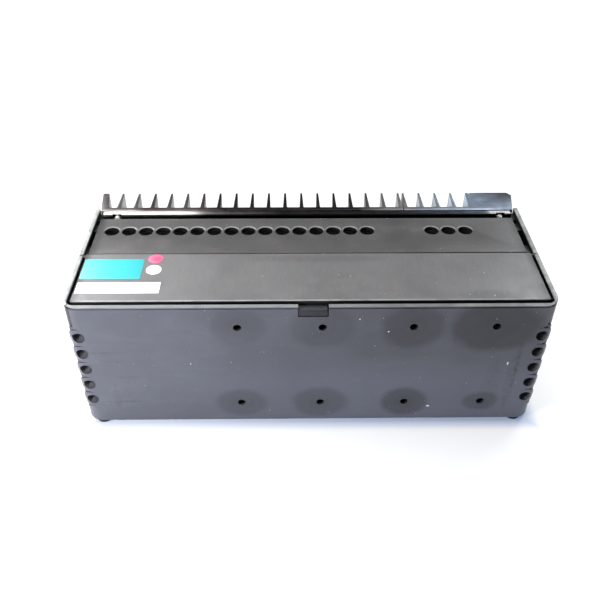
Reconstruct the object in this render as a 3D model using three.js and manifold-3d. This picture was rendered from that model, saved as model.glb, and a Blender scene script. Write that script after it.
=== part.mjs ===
// Servo drive: a low, wide moulded case with a finned heat sink across its back.
// Millimetres, +Z up, front face towards -Y, origin under the middle of the feet.
import * as THREE from "three";
import { mergeVertices } from "three/addons/utils/BufferGeometryUtils.js";
import Module from "manifold-3d";

const wasm = await Module();
wasm.setup();

// ---- driving dimensions ----
const WIDTH = 246.6;
const DEPTH = 108.2; // front face to fin tips
const SHELL_HEIGHT = 81.5;
const FOOT_HEIGHT = 3;
const WALL = 2.3;
const GAP = 0.3; // between pieces that touch

const TERMINAL_PITCH = 9.5;
const SIGNAL_WAYS = 16;
const SIGNAL_CENTRE_X = -38.5;
const OUTPUT_WAYS = 3;
const OUTPUT_CENTRE_X = 78.5;
const TERMINAL_FROM_FRONT = 66.7;

const FRONT = -DEPTH / 2;
const BOTTOM = FOOT_HEIGHT;
const TOP = FOOT_HEIGHT + SHELL_HEIGHT;
const INNER_X = WIDTH / 2 - WALL;
const CORNER_RADIUS = 8;
const INNER_CORNER_RADIUS = 3.5;
const BEYOND = 1; // how far a cutter runs past what it cuts, and a joined piece into its neighbour

// distances back from the front face
const WALLS_END = 90.5;
const LID_START = 4.9;
const LID_END = 45;
const PANEL_START = 45.5;
const PANEL_END = 79.6;
const CHASSIS_START = 84.2;
const CHASSIS_END = 88.6;
const SINK_START = CHASSIS_END + GAP;
const SINK_BASE = 3.3;

const COVER_THICKNESS = 2.5; // lid and terminal panel
const BOARD_THICKNESS = 1.6;
const POWER_BOARD_Z = BOTTOM + 9;
const CONTROL_BOARD_Z = TOP - 20.5;
const BOARD_HALF_WIDTH = 112;

// ---- solids ----
function solid(geometry) {
  const bare = geometry.clone();
  bare.deleteAttribute("normal");
  bare.deleteAttribute("uv");
  const merged = mergeVertices(bare, 1e-4);
  const mesh = new wasm.Mesh({
    numProp: 3,
    vertProperties: merged.attributes.position.array,
    triVerts: new Uint32Array(merged.index.array),
  });
  return new wasm.Manifold(mesh);
}

function geometryOf(body) {
  const mesh = body.getMesh();
  const geometry = new THREE.BufferGeometry();
  geometry.setAttribute("position", new THREE.BufferAttribute(mesh.vertProperties, 3));
  geometry.setIndex(new THREE.BufferAttribute(mesh.triVerts, 1));
  const flat = geometry.toNonIndexed();
  flat.computeVertexNormals();
  return flat;
}

const join = (first, ...others) => others.reduce((sum, other) => sum.add(other), first);
const cut = (first, ...others) => others.reduce((rest, other) => rest.subtract(other), first);

// The two ends of a span, from its middle or from two distances out on one side of the drive.
const around = (middle, half) => [middle - half, middle + half];
const onSide = (side, near, far) => (side < 0 ? [-far, -near] : [near, far]);

// A box between two x, two distances from the front face, and two heights.
function block([x0, x1], [d0, d1], [z0, z1]) {
  const box = new THREE.BoxGeometry(x1 - x0, d1 - d0, z1 - z0);
  box.translate((x0 + x1) / 2, FRONT + (d0 + d1) / 2, (z0 + z1) / 2);
  return solid(box);
}

// Cylinders along z, x and y: the radius, where the axis passes, and the two end coordinates.
function rodZ(radius, [x, d], [z0, z1], sides = 24, topRadius = radius) {
  const rod = new THREE.CylinderGeometry(topRadius, radius, z1 - z0, sides);
  rod.rotateX(Math.PI / 2);
  rod.translate(x, FRONT + d, (z0 + z1) / 2);
  return solid(rod);
}

function rodX(radius, [d, z], [x0, x1], sides = 20) {
  const rod = new THREE.CylinderGeometry(radius, radius, x1 - x0, sides);
  rod.rotateZ(Math.PI / 2);
  rod.translate((x0 + x1) / 2, FRONT + d, z);
  return solid(rod);
}

function rodY(radius, [x, z], [d0, d1], sides = 20) {
  const rod = new THREE.CylinderGeometry(radius, radius, d1 - d0, sides);
  rod.translate(x, FRONT + (d0 + d1) / 2, z);
  return solid(rod);
}

// A shape drawn in (x, distance from the front face), raised between two heights.
function raised(shape, [z0, z1], curveSegments = 6) {
  const geometry = new THREE.ExtrudeGeometry(shape, {
    depth: z1 - z0,
    bevelEnabled: false,
    curveSegments,
  });
  geometry.translate(0, FRONT, z0);
  return solid(geometry);
}

// A shape drawn in (distance from the front face, height), run between two x.
function run(shape, [x0, x1], curveSegments = 6) {
  const geometry = new THREE.ExtrudeGeometry(shape, {
    depth: x1 - x0,
    bevelEnabled: false,
    curveSegments,
  });
  geometry.applyMatrix4(
    new THREE.Matrix4().set(0, 0, 1, x0, 1, 0, 0, FRONT, 0, 1, 0, 0, 0, 0, 0, 1),
  );
  return solid(geometry);
}

// The case's outline in plan: straight sides, front corners rounded, open line at the back.
function planShape(halfWidth, start, end, radius) {
  const shape = new THREE.Shape();
  shape.moveTo(-halfWidth, end);
  shape.lineTo(-halfWidth, start + radius);
  shape.absarc(-halfWidth + radius, start + radius, radius, Math.PI, 1.5 * Math.PI, false);
  shape.lineTo(halfWidth - radius, start);
  shape.absarc(halfWidth - radius, start + radius, radius, 1.5 * Math.PI, 2 * Math.PI, false);
  shape.lineTo(halfWidth, end);
  shape.closePath();
  return shape;
}

// ---- case shell: front wall and end walls in one moulding ----
const FRONT_TOP = TOP - 0.5; // the front wall stops lower than the end walls
const END_RIM = 2.6;
const FRONT_HOLE_X = [-37.3, 5.6, 51.5, 93.4];
const FRONT_HOLE_Z = [BOTTOM + 13.7, BOTTOM + 67.7];
const FRONT_HOLE_RADIUS = 2.1;
const FLUTE_COUNT = 5;
const FLUTE_TOP_Z = BOTTOM + 61.2;
const FLUTE_PITCH = 11.05;
const FLUTE_X = WIDTH / 2 - 5.6;
const FLUTE = { radius: 5.3, boreRadius: 3.2, boreEnd: 52, innerEnd: 54, end: 76 };
const FLUTE_WALL = { recess: 2, back: 4.4 };
const RIM_GROOVE = { drop: 1, height: 0.8, depth: 0.4 };
const LEDGE = { reach: 4.2, top: TOP - COVER_THICKNESS - GAP, height: 3.2 };
const LEDGE_SPANS = [[8, 16], [32, 40], [49, 56], [70.5, 77.5]];
const CHASSIS_RIB = { reach: 5, start: 81.5, top: TOP - 14 };
const CHASSIS_SIDE = { reach: 2.3, end: CHASSIS_END, top: TOP - 3 };
const LATCH_X = 0.8;
const LATCH = { halfWidth: 7.4, front: 0.2, back: 9, foot: TOP - 6.7, travel: 1.2, nose: 1 };
const PIVOT = { distance: LID_END - 1.25, z: TOP - 1.25, radius: 1.0, reach: 1.5 };

// The fluted part of an end wall: a recessed wall with round ribs along it, each bored from the front.
function fluteWall(side) {
  const { recess, back } = FLUTE_WALL;
  const low = FLUTE_TOP_Z - (FLUTE_COUNT - 0.5) * FLUTE_PITCH;
  const high = FLUTE_TOP_Z + FLUTE_PITCH / 2;
  const across = onSide(side, WIDTH / 2 - back, WIDTH / 2 - recess);
  let wall = block(across, [WALL - BEYOND, FLUTE.end], [low, high]);
  for (let i = 0; i < FLUTE_COUNT; i++) {
    const axis = [side * FLUTE_X, FLUTE_TOP_Z - i * FLUTE_PITCH];
    const rib = rodY(FLUTE.radius, axis, [0, FLUTE.end]);
    const inside = onSide(side, FLUTE_X - FLUTE.radius - BEYOND, WIDTH / 2 - back);
    const room = block(inside, [FLUTE.innerEnd, FLUTE.end + BEYOND], [low - BEYOND, high + BEYOND]);
    wall = join(wall, cut(rib, room));
  }
  return wall;
}

function fluteRecess(side) {
  const low = FLUTE_TOP_Z - (FLUTE_COUNT - 0.5) * FLUTE_PITCH;
  const high = FLUTE_TOP_Z + FLUTE_PITCH / 2;
  const outside = onSide(side, WIDTH / 2 - FLUTE_WALL.recess, WIDTH / 2 + BEYOND);
  return block(outside, [-BEYOND, FLUTE.end], [low, high]);
}

function fluteBore(side, i) {
  const axis = [side * FLUTE_X, FLUTE_TOP_Z - i * FLUTE_PITCH];
  return rodY(FLUTE.boreRadius, axis, [-BEYOND, FLUTE.boreEnd]);
}

function rimGroove() {
  const { drop, height, depth } = RIM_GROOVE;
  const band = [TOP - drop - height, TOP - drop];
  const outside = planShape(WIDTH / 2 + BEYOND, -BEYOND, WALLS_END + BEYOND, CORNER_RADIUS + BEYOND);
  const inside = planShape(WIDTH / 2 - depth, depth, WALLS_END + 2 * BEYOND, CORNER_RADIUS - depth);
  return cut(raised(outside, band), raised(inside, [band[0] - BEYOND, band[1] + BEYOND]));
}

function caseShell() {
  const outer = planShape(WIDTH / 2, 0, WALLS_END, CORNER_RADIUS);
  const inner = planShape(INNER_X, WALL, WALLS_END + BEYOND, INNER_CORNER_RADIUS);
  let shell = cut(raised(outer, [BOTTOM, TOP]), raised(inner, [BOTTOM - BEYOND, TOP + BEYOND]));
  for (const side of [-1, 1]) {
    // ledges that carry the lid and the terminal panel, and the rib that the chassis plate slides behind
    const ledge = onSide(side, INNER_X - LEDGE.reach, INNER_X + BEYOND);
    for (const span of LEDGE_SPANS) {
      shell = join(shell, block(ledge, span, [LEDGE.top - LEDGE.height, LEDGE.top]));
    }
    const rib = onSide(side, INNER_X - CHASSIS_RIB.reach, INNER_X + BEYOND);
    const ribDepth = [CHASSIS_RIB.start, CHASSIS_START - GAP];
    shell = join(shell, block(rib, ribDepth, [BOTTOM, CHASSIS_RIB.top]));
    const edge = onSide(side, INNER_X - CHASSIS_SIDE.reach, INNER_X + BEYOND);
    shell = join(shell, block(edge, [CHASSIS_RIB.start, CHASSIS_SIDE.end], [BOTTOM, CHASSIS_SIDE.top]));
    const flutes = fluteWall(side).intersect(raised(outer, [BOTTOM, TOP]));
    shell = join(cut(shell, fluteRecess(side)), flutes);
    for (let i = 0; i < FLUTE_COUNT; i++) shell = cut(shell, fluteBore(side, i));
    const pin = onSide(side, INNER_X - BEYOND, INNER_X + PIVOT.reach);
    shell = cut(shell, rodX(PIVOT.radius + GAP, [PIVOT.distance, PIVOT.z], pin));
  }
  for (const x of FRONT_HOLE_X) {
    for (const z of FRONT_HOLE_Z) {
      shell = cut(shell, rodY(FRONT_HOLE_RADIUS, [x, z], [-BEYOND, WALL + BEYOND], 12));
    }
  }
  // the front wall's lower top edge, and the notch that the latch sits in
  const betweenRims = around(0, WIDTH / 2 - END_RIM);
  const lowered = block(betweenRims, [-BEYOND, CORNER_RADIUS], [FRONT_TOP, TOP + BEYOND]);
  const notch = block(
    around(LATCH_X, LATCH.halfWidth + GAP),
    [-BEYOND, WALL + BEYOND],
    [LATCH.foot - GAP, TOP + BEYOND],
  );
  return cut(shell, rimGroove(), lowered, notch);
}

// ---- bottom cover, with vents and the posts that carry the power board ----
const STAND_X = 104;
const STANDS = [
  [-STAND_X, 14],
  [STAND_X, 14],
  [-STAND_X, 54],
  [STAND_X, 54],
];
const STAND_RADIUS = 3.2;
const COVER_BASE = { thickness: 2.4, halfWidth: INNER_X - GAP, end: 81 };
const BASE_VENTS = { count: 13, pitch: 15, halfLength: 11, halfWidth: 1.6, rows: [28, 56] };

function bottomCover() {
  const { thickness, halfWidth, end } = COVER_BASE;
  const outline = planShape(halfWidth, WALL + GAP, end, INNER_CORNER_RADIUS);
  let cover = raised(outline, [BOTTOM, BOTTOM + thickness]);
  for (const [x, d] of STANDS) {
    cover = join(cover, rodZ(STAND_RADIUS, [x, d], [BOTTOM + BEYOND, POWER_BOARD_Z - GAP], 16));
  }
  for (const row of BASE_VENTS.rows) {
    for (let i = 0; i < BASE_VENTS.count; i++) {
      const x = (i - (BASE_VENTS.count - 1) / 2) * BASE_VENTS.pitch;
      const across = around(x, BASE_VENTS.halfWidth);
      const along = around(row, BASE_VENTS.halfLength);
      cover = cut(cover, block(across, along, [BOTTOM - BEYOND, BOTTOM + thickness + BEYOND]));
    }
  }
  return cover;
}

// ---- chassis plate: stands upright behind the covers, carries the power devices ----
const CHASSIS_HALF_WIDTH = 118.4;
const CHASSIS_NOTCH_X = [-110.6, 112.3];
const CHASSIS_NOTCH = { halfWidth: 2.6, depth: 2.6, height: 9 };
const CHASSIS_TOP = TOP - 0.8;

function chassisPlate() {
  const plate = block(
    [-CHASSIS_HALF_WIDTH, CHASSIS_HALF_WIDTH],
    [CHASSIS_START, CHASSIS_END],
    [BOTTOM, CHASSIS_TOP],
  );
  const { halfWidth, depth, height } = CHASSIS_NOTCH;
  return CHASSIS_NOTCH_X.reduce((rest, x) => {
    const across = around(x, halfWidth);
    const along = [CHASSIS_START - BEYOND, CHASSIS_START + depth];
    return cut(rest, block(across, along, [TOP - height, TOP + BEYOND]));
  }, plate);
}

// ---- heat sink: two lengths of the same kind of extrusion, side by side, cut ends up ----
const FIN = { tipThickness: 1.2, rootThickness: 2.4 };
const SINK_SPLIT_X = 56.2;
const LEFT_FINS = { first: -110.5, pitch: 9.72, count: 18 };
const RIGHT_FINS = { first: 57.8, pitch: 9.6, count: 4 };
const END_FIN = { inner: -116.2, innerTip: -118.9, outer: -120.4, outerTip: -122.8 };
const END_BLOCK = { inner: 95, innerTip: 95.6, outer: 120.2, outerTip: 123.2 };
const END_CHAMFER = { across: 2.2, along: 3 };
const END_GROOVE = { start: 96.9, deepest: 97.7, end: 99.2, depth: 0.9 };

function finPoints(x) {
  const tip = FIN.tipThickness / 2;
  const root = FIN.rootThickness / 2;
  return [
    [x + root, SINK_START + SINK_BASE],
    [x + tip, DEPTH],
    [x - tip, DEPTH],
    [x - root, SINK_START + SINK_BASE],
  ];
}

function sinkFrom(points) {
  const shape = new THREE.Shape(points.map(([x, d]) => new THREE.Vector2(x, d)));
  return raised(shape, [BOTTOM, TOP - GAP]);
}

function finRow({ first, pitch, count }) {
  const points = [];
  for (let i = count - 1; i >= 0; i--) points.push(...finPoints(first + i * pitch));
  return points;
}

function heatSinkLeft() {
  const root = SINK_START + SINK_BASE;
  return sinkFrom([
    [END_FIN.outer, SINK_START],
    [SINK_SPLIT_X - GAP, SINK_START],
    [SINK_SPLIT_X - GAP, root],
    ...finRow(LEFT_FINS),
    [END_FIN.inner, root],
    [END_FIN.innerTip, DEPTH],
    [END_FIN.outerTip, DEPTH],
  ]);
}

function heatSinkRight() {
  const root = SINK_START + SINK_BASE;
  const { inner, innerTip, outer, outerTip } = END_BLOCK;
  return sinkFrom([
    [SINK_SPLIT_X + GAP, SINK_START],
    [outer, SINK_START],
    [outerTip, DEPTH - END_CHAMFER.along],
    [outerTip - END_CHAMFER.across, DEPTH],
    [END_GROOVE.end, DEPTH],
    [END_GROOVE.deepest, DEPTH - END_GROOVE.depth],
    [END_GROOVE.start, DEPTH],
    [innerTip, DEPTH],
    [inner, root],
    ...finRow(RIGHT_FINS),
    [SINK_SPLIT_X + GAP, root],
  ]);
}

// ---- the screws that clamp the chassis plate, seen in its notches ----
const CLAMP = {
  z: TOP - 4.4,
  headRadius: 2.2,
  washerRadius: 2.4,
  front: CHASSIS_START - 1.2,
  seat: CHASSIS_START + 1.5,
  back: CHASSIS_START + 2.3,
  slotHalfWidth: 0.5,
  slotDepth: 0.9,
};

function clampScrew() {
  const { z, headRadius, washerRadius, front, seat, back, slotHalfWidth, slotDepth } = CLAMP;
  const head = rodY(headRadius, [0, z], [front, seat + GAP], 16);
  const washer = rodY(washerRadius, [0, z], [seat, back], 16);
  const slotSpan = [front - BEYOND, front + slotDepth];
  const slot = block(around(0, slotHalfWidth), slotSpan, around(z, headRadius + BEYOND));
  return cut(join(head, washer), slot);
}

// ---- terminal panel ----
const PANEL_X = [-118.4, 117.4];
const HOLE_SIDES = 14;
const ACCESS_HOLE = { radius: 3.8, rimRadius: 4.1, rimDepth: 0.5 };
const BACK_LIP = { halfLength: 110, thickness: 2, height: 8 };

function terminalXs(ways, centre) {
  return Array.from({ length: ways }, (_, i) => centre + (i - (ways - 1) / 2) * TERMINAL_PITCH);
}

const SIGNAL_X = terminalXs(SIGNAL_WAYS, SIGNAL_CENTRE_X);
const OUTPUT_X = terminalXs(OUTPUT_WAYS, OUTPUT_CENTRE_X);
const TERMINAL_X = [...SIGNAL_X, ...OUTPUT_X];

function terminalPanel() {
  const under = TOP - COVER_THICKNESS;
  const { radius, rimRadius, rimDepth } = ACCESS_HOLE;
  const beyondRim = radius + ((rimRadius - radius) * (rimDepth + BEYOND)) / rimDepth;
  const sheet = block(PANEL_X, [PANEL_START, PANEL_END], [under, TOP]);
  const backLip = block(
    around(0, BACK_LIP.halfLength),
    [PANEL_END - BACK_LIP.thickness, PANEL_END],
    [under - BACK_LIP.height, under + BEYOND],
  );
  let panel = join(sheet, backLip);
  for (const x of TERMINAL_X) {
    const at = [x, TERMINAL_FROM_FRONT];
    const hole = rodZ(radius, at, [under - BEYOND, TOP + BEYOND], HOLE_SIDES);
    const rim = rodZ(radius, at, [TOP - rimDepth, TOP + BEYOND], HOLE_SIDES, beyondRim);
    panel = cut(panel, hole, rim);
  }
  return panel;
}

// ---- service lid, pivoted at its rear edge on two stub pins ----
const LID_HALF_WIDTH = INNER_X - 1.6;
const LID_EDGE = COVER_THICKNESS / 2;
const LID_FRONT_ROUND = 0.9;
const LID_CORNER = 1;
const LID_RIBS = { xs: [-70, 40, 90], halfWidth: 0.9, height: 3, start: LID_START + 6, end: LID_END - 8 };
const LATCH_GUIDE = { start: 4.6, wall: 1.5, floorEnd: 8.5 };

function lidPlate() {
  const under = TOP - COVER_THICKNESS;
  const noseEnd = LID_START + LID_FRONT_ROUND;
  const profile = new THREE.Shape();
  profile.moveTo(LID_START, under);
  profile.lineTo(PIVOT.distance, under);
  profile.absarc(PIVOT.distance, PIVOT.z, LID_EDGE, -Math.PI / 2, Math.PI / 2, false);
  profile.lineTo(noseEnd, TOP);
  profile.absarc(noseEnd, TOP - LID_FRONT_ROUND, LID_FRONT_ROUND, Math.PI / 2, Math.PI, false);
  profile.closePath();
  const plan = planShape(LID_HALF_WIDTH, LID_START, LID_END + BEYOND, LID_CORNER);
  const plate = run(profile, around(0, LID_HALF_WIDTH), 6);
  return plate.intersect(raised(plan, [under - BEYOND, TOP + BEYOND]));
}

// The box under the lid that the latch slides in: two sides, a back stop and a floor strip.
function latchGuide() {
  const { start, wall, floorEnd } = LATCH_GUIDE;
  const under = TOP - COVER_THICKNESS;
  const inner = LATCH.halfWidth + GAP;
  const stop = LATCH.back + LATCH.travel + GAP;
  const floor = LATCH.foot - GAP;
  const outside = around(LATCH_X, inner + wall);
  const outline = block(outside, [start, stop + wall], [floor - wall, under + BEYOND]);
  const room = block(around(LATCH_X, inner), [start - BEYOND, stop], [floor, under]);
  const window = block(around(LATCH_X, inner), [floorEnd, stop], [floor - wall - BEYOND, under]);
  return cut(outline, room, window);
}

function serviceLid() {
  const under = TOP - COVER_THICKNESS;
  let lid = join(lidPlate(), latchGuide());
  for (const side of [-1, 1]) {
    const span = onSide(side, LID_HALF_WIDTH - BEYOND, INNER_X + PIVOT.reach - GAP);
    lid = join(lid, rodX(PIVOT.radius, [PIVOT.distance, PIVOT.z], span, 16));
  }
  const { xs, halfWidth, height, start, end } = LID_RIBS;
  for (const x of xs) {
    lid = join(lid, block(around(x, halfWidth), [start, end], [under - height, under + BEYOND]));
  }
  return lid;
}

// ---- lid latch: a tab under the lid's front edge, pressed back at its face to free the lid ----
function lidLatch() {
  const { halfWidth, front, back, foot, nose } = LATCH;
  const top = TOP - COVER_THICKNESS - GAP;
  const profile = new THREE.Shape();
  profile.moveTo(front, foot);
  profile.lineTo(back, foot);
  profile.lineTo(back, top);
  profile.lineTo(front + nose, top);
  profile.absarc(front + nose, top - nose, nose, Math.PI / 2, Math.PI, false);
  profile.closePath();
  return run(profile, around(LATCH_X, halfWidth), 5);
}

// ---- terminal blocks and their screws ----
const BLOCK_BASE_Z = CONTROL_BOARD_Z + BOARD_THICKNESS + GAP;
const BLOCK_TOP_Z = TOP - COVER_THICKNESS - GAP;
const BLOCK_HALF_DEPTH = 8.2;
const BLOCK_END = 0.7; // plastic beyond the outermost ways
const WELL = { clearance: 0.2, shankClearance: 2 * GAP, floor: 1.5 };
const WIRE_MOUTH = { halfWidth: 2.6, floor: 2.2, drop: 1.4 };
const SCREW = { headRadius: 3.1, shankRadius: 1.7, headHeight: 2.2, slotHalfWidth: 0.45, slotDepth: 1 };
const SCREW_SEAT_Z = TOP - 9;

function terminalBlock(ways, centre) {
  const half = (ways * TERMINAL_PITCH) / 2 + BLOCK_END;
  const [front, back] = around(TERMINAL_FROM_FRONT, BLOCK_HALF_DEPTH);
  const mouthHeights = [BLOCK_BASE_Z + WIRE_MOUTH.floor, SCREW_SEAT_Z - WIRE_MOUTH.drop];
  let body = block(around(centre, half), [front, back], [BLOCK_BASE_Z, BLOCK_TOP_Z]);
  for (const x of terminalXs(ways, centre)) {
    const at = [x, TERMINAL_FROM_FRONT];
    const mouth = around(x, WIRE_MOUTH.halfWidth);
    // one well per screw, and the wire mouth that opens to the back
    body = cut(
      body,
      rodZ(ACCESS_HOLE.radius + WELL.clearance, at, [SCREW_SEAT_Z, TOP], 12),
      rodZ(SCREW.shankRadius + WELL.shankClearance, at, [BLOCK_BASE_Z + WELL.floor, TOP], 8),
      block(mouth, [TERMINAL_FROM_FRONT, back + BEYOND], mouthHeights),
    );
  }
  return body;
}

function terminalScrew() {
  const { headRadius, shankRadius, headHeight, slotHalfWidth, slotDepth } = SCREW;
  const seat = SCREW_SEAT_Z + GAP;
  const headTop = seat + headHeight;
  const at = [0, TERMINAL_FROM_FRONT];
  const head = rodZ(headRadius, at, [seat, headTop], 14);
  const shank = rodZ(shankRadius, at, [BLOCK_BASE_Z + WELL.floor + GAP, seat + BEYOND], 8);
  const across = around(TERMINAL_FROM_FRONT, slotHalfWidth);
  const slot = block(around(0, headRadius + BEYOND), across, [headTop - slotDepth, headTop + BEYOND]);
  return cut(join(head, shank), slot);
}

// ---- boards ----
const BOARD_HOLE_RADIUS = 1.9;
const POWER_BOARD_SPAN = [6, 78];
const CONTROL_BOARD_SPAN = [8, 79];
const STANDOFF = { radius: 3, studRadius: 1.4, studOut: 1.2, studIn: 0.2 };

function board(z, span) {
  const sheet = block(around(0, BOARD_HALF_WIDTH), span, [z, z + BOARD_THICKNESS]);
  const through = [z - BEYOND, z + BOARD_THICKNESS + BEYOND];
  return cut(sheet, ...STANDS.map((at) => rodZ(BOARD_HOLE_RADIUS, at, through, 16)));
}

function standoff() {
  const { radius, studRadius, studOut, studIn } = STANDOFF;
  const ends = [POWER_BOARD_Z + BOARD_THICKNESS + GAP, CONTROL_BOARD_Z - GAP];
  const studEnds = [POWER_BOARD_Z - studIn, CONTROL_BOARD_Z + BOARD_THICKNESS + studOut];
  return join(rodZ(radius, [0, 0], ends, 6), rodZ(studRadius, [0, 0], studEnds, 12));
}

// ---- power parts on the lower board ----
const PARTS_Z = POWER_BOARD_Z + BOARD_THICKNESS + GAP;
const CAPACITOR = { radius: 14, height: 42, xs: [-86, -54, -22], distance: 24 };
const CAPACITOR_CRIMP = { start: 3.4, end: 5, depth: 0.7 };
const CAPACITOR_TOP = { edge: 1.4, rim: 3, recess: 0.6 };

function capacitor() {
  const { radius, height } = CAPACITOR;
  const { start, end, depth } = CAPACITOR_CRIMP;
  const { edge, rim, recess } = CAPACITOR_TOP;
  const profile = [
    [0, 0],
    [radius, 0],
    [radius, start],
    [radius - depth, (start + end) / 2],
    [radius, end],
    [radius, height - edge],
    [radius - edge, height],
    [radius - rim, height],
    [radius - rim - recess, height - recess],
    [0, height - recess],
  ];
  const can = new THREE.LatheGeometry(profile.map(([r, z]) => new THREE.Vector2(r, z)), 18);
  can.rotateX(Math.PI / 2);
  can.translate(0, 0, PARTS_Z);
  return solid(can);
}

const TRANSFORMER = {
  x: 40,
  distance: 28,
  core: { halfWidth: 22, halfDepth: 18, low: 4, high: 36 },
  windowX: [28, 52],
  window: { halfWidth: 4, low: 10, high: 30 },
  bobbin: { halfWidth: 15.5, halfDepth: 21, clearance: 0.5 },
  base: { halfWidth: 20, halfDepth: 19, height: 5 },
};

function transformer() {
  const { x, distance, core, windowX, window, bobbin, base } = TRANSFORMER;
  const upright = (part, [low, high]) =>
    block(around(x, part.halfWidth), around(distance, part.halfDepth), [PARTS_Z + low, PARTS_Z + high]);
  const openings = windowX.map((middle) =>
    block(
      around(middle, window.halfWidth),
      around(distance, core.halfDepth + BEYOND),
      [PARTS_Z + window.low, PARTS_Z + window.high],
    ),
  );
  const coilHeights = [window.low + bobbin.clearance, window.high - bobbin.clearance];
  return join(
    cut(upright(core, [core.low, core.high]), ...openings),
    upright(bobbin, coilHeights),
    upright(base, [0, base.height]),
  );
}

const CHOKE = { x: 86, distance: 26, ringRadius: 10, coilRadius: 5.6, z: 7.4, baseHalf: 14, baseHeight: 3 };

function choke() {
  const { x, distance, ringRadius, coilRadius, z, baseHalf, baseHeight } = CHOKE;
  const ring = new THREE.TorusGeometry(ringRadius, coilRadius, 8, 18);
  ring.translate(x, FRONT + distance, PARTS_Z + z);
  const base = block(around(x, baseHalf), around(distance, baseHalf), [PARTS_Z, PARTS_Z + baseHeight]);
  return join(solid(ring), base);
}

// Power devices stand against the chassis plate.
const DEVICE_Z = [BOTTOM + 22, BOTTOM + 52];
const MODULE = { x: -28, halfWidth: 38, start: 66 };
const MODULE_STEPS = { pitch: 16, count: 4, halfWidth: 4, height: 3, inset: 6 };
const RECTIFIER = { x: 45, halfWidth: 17, start: 70, holeRadius: 2.4 };

function powerModule() {
  const { x, halfWidth, start } = MODULE;
  const steps = MODULE_STEPS;
  const stepHeights = [DEVICE_Z[0] + steps.inset, DEVICE_Z[1] - steps.inset];
  let body = block(around(x, halfWidth), [start, CHASSIS_START - GAP], DEVICE_Z);
  for (let i = 0; i < steps.count; i++) {
    const middle = x + (i - (steps.count - 1) / 2) * steps.pitch;
    const along = [start - steps.height, start + BEYOND];
    body = join(body, block(around(middle, steps.halfWidth), along, stepHeights));
  }
  return body;
}

function rectifier() {
  const { x, halfWidth, start, holeRadius } = RECTIFIER;
  const middle = (DEVICE_Z[0] + DEVICE_Z[1]) / 2;
  const body = block(around(x, halfWidth), [start, CHASSIS_START - GAP], DEVICE_Z);
  return cut(body, rodY(holeRadius, [x, middle], [start - BEYOND, CHASSIS_START + BEYOND], 12));
}

// ---- fuse and its holder ----
const FUSE = { x: 86, start: 50, end: 70, z: PARTS_Z + 6.2, radius: 2.6, glassRadius: 2.3, cap: 5 };
const HOLDER = { halfWidth: 6, end: 3, lip: 3, troughHalf: 3, troughDrop: 3.2 };

function fuseHolder() {
  const { x, start, end, z, radius } = FUSE;
  const { halfWidth, lip, troughHalf, troughDrop } = HOLDER;
  const body = block(around(x, halfWidth), [start - HOLDER.end, end + HOLDER.end], [PARTS_Z, z + lip]);
  const trough = block(around(x, troughHalf), [start - GAP, end + GAP], [z - troughDrop, z + lip + BEYOND]);
  const grip = rodY(radius + GAP, [x, z], [start - GAP, end + GAP], 12);
  return cut(body, trough, grip);
}

function fuse() {
  const { x, start, end, z, radius, glassRadius, cap } = FUSE;
  return join(
    rodY(glassRadius, [x, z], [start + GAP, end - GAP], 16),
    rodY(radius, [x, z], [start, start + cap], 16),
    rodY(radius, [x, z], [end - cap, end], 16),
  );
}

// ---- controls under the lid, on the upper board ----
const CONTROLS_Z = CONTROL_BOARD_Z + BOARD_THICKNESS + GAP;
const DIP = { x: -60, ways: 4, pitch: 3.6, distance: 26, halfDepth: 4.5, height: 4.4, travel: 1.6 };
const DIP_SLOT = { halfWidth: 1.1, halfLength: 2.9, floor: 1.6 };
const DIP_SLIDER = { halfWidth: 0.8, top: 1 };
const TRIMMER = { xs: [-18, -2, 14], distance: 26, radius: 2.6, height: 6, halfDepth: 5, end: 6 };
const TRIMMER_WELL_Z = CONTROLS_Z + 2;
const ROTOR = { proud: 0.8, slotHalf: 0.4, slotDepth: 1 };

const dipX = (i) => DIP.x + (i - (DIP.ways - 1) / 2) * DIP.pitch;

function dipSwitch() {
  const half = (DIP.ways * DIP.pitch) / 2 + BEYOND;
  const top = CONTROLS_Z + DIP.height;
  const slotHeights = [CONTROLS_Z + DIP_SLOT.floor, top + BEYOND];
  let body = block(around(DIP.x, half), around(DIP.distance, DIP.halfDepth), [CONTROLS_Z, top]);
  for (let i = 0; i < DIP.ways; i++) {
    const across = around(dipX(i), DIP_SLOT.halfWidth);
    body = cut(body, block(across, around(DIP.distance, DIP_SLOT.halfLength), slotHeights));
  }
  return body;
}

// Each slider rests at the front end of its slot and moves back.
function dipSlider(i) {
  const start = DIP.distance - DIP_SLOT.halfLength + GAP;
  const end = DIP.distance + DIP_SLOT.halfLength - GAP - DIP.travel;
  const heights = [CONTROLS_Z + DIP_SLOT.floor + GAP, CONTROLS_Z + DIP.height + DIP_SLIDER.top];
  return block(around(dipX(i), DIP_SLIDER.halfWidth), [start, end], heights);
}

function trimmerRow() {
  const { xs, distance, radius, height, halfDepth, end } = TRIMMER;
  const top = CONTROLS_Z + height;
  const span = [xs[0] - end, xs[xs.length - 1] + end];
  const wells = xs.map((x) => rodZ(radius + GAP, [x, distance], [TRIMMER_WELL_Z, top + BEYOND], 20));
  return cut(block(span, around(distance, halfDepth), [CONTROLS_Z, top]), ...wells);
}

function trimmerRotor() {
  const { radius, height, distance } = TRIMMER;
  const { proud, slotHalf, slotDepth } = ROTOR;
  const top = CONTROLS_Z + height + proud;
  const rotor = rodZ(radius, [0, distance], [TRIMMER_WELL_Z + GAP, top], 20);
  const heights = [top - slotDepth, top + BEYOND];
  const slot = block(around(0, radius + BEYOND), around(distance, slotHalf), heights);
  const pointer = block(around(0, slotHalf), [distance, distance + radius + BEYOND], heights);
  return cut(rotor, slot, pointer);
}

// ---- rubber feet ----
const FOOT = { x: 115, distances: [5.2, 74], radius: 4.4, edge: 0.7 };

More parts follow.
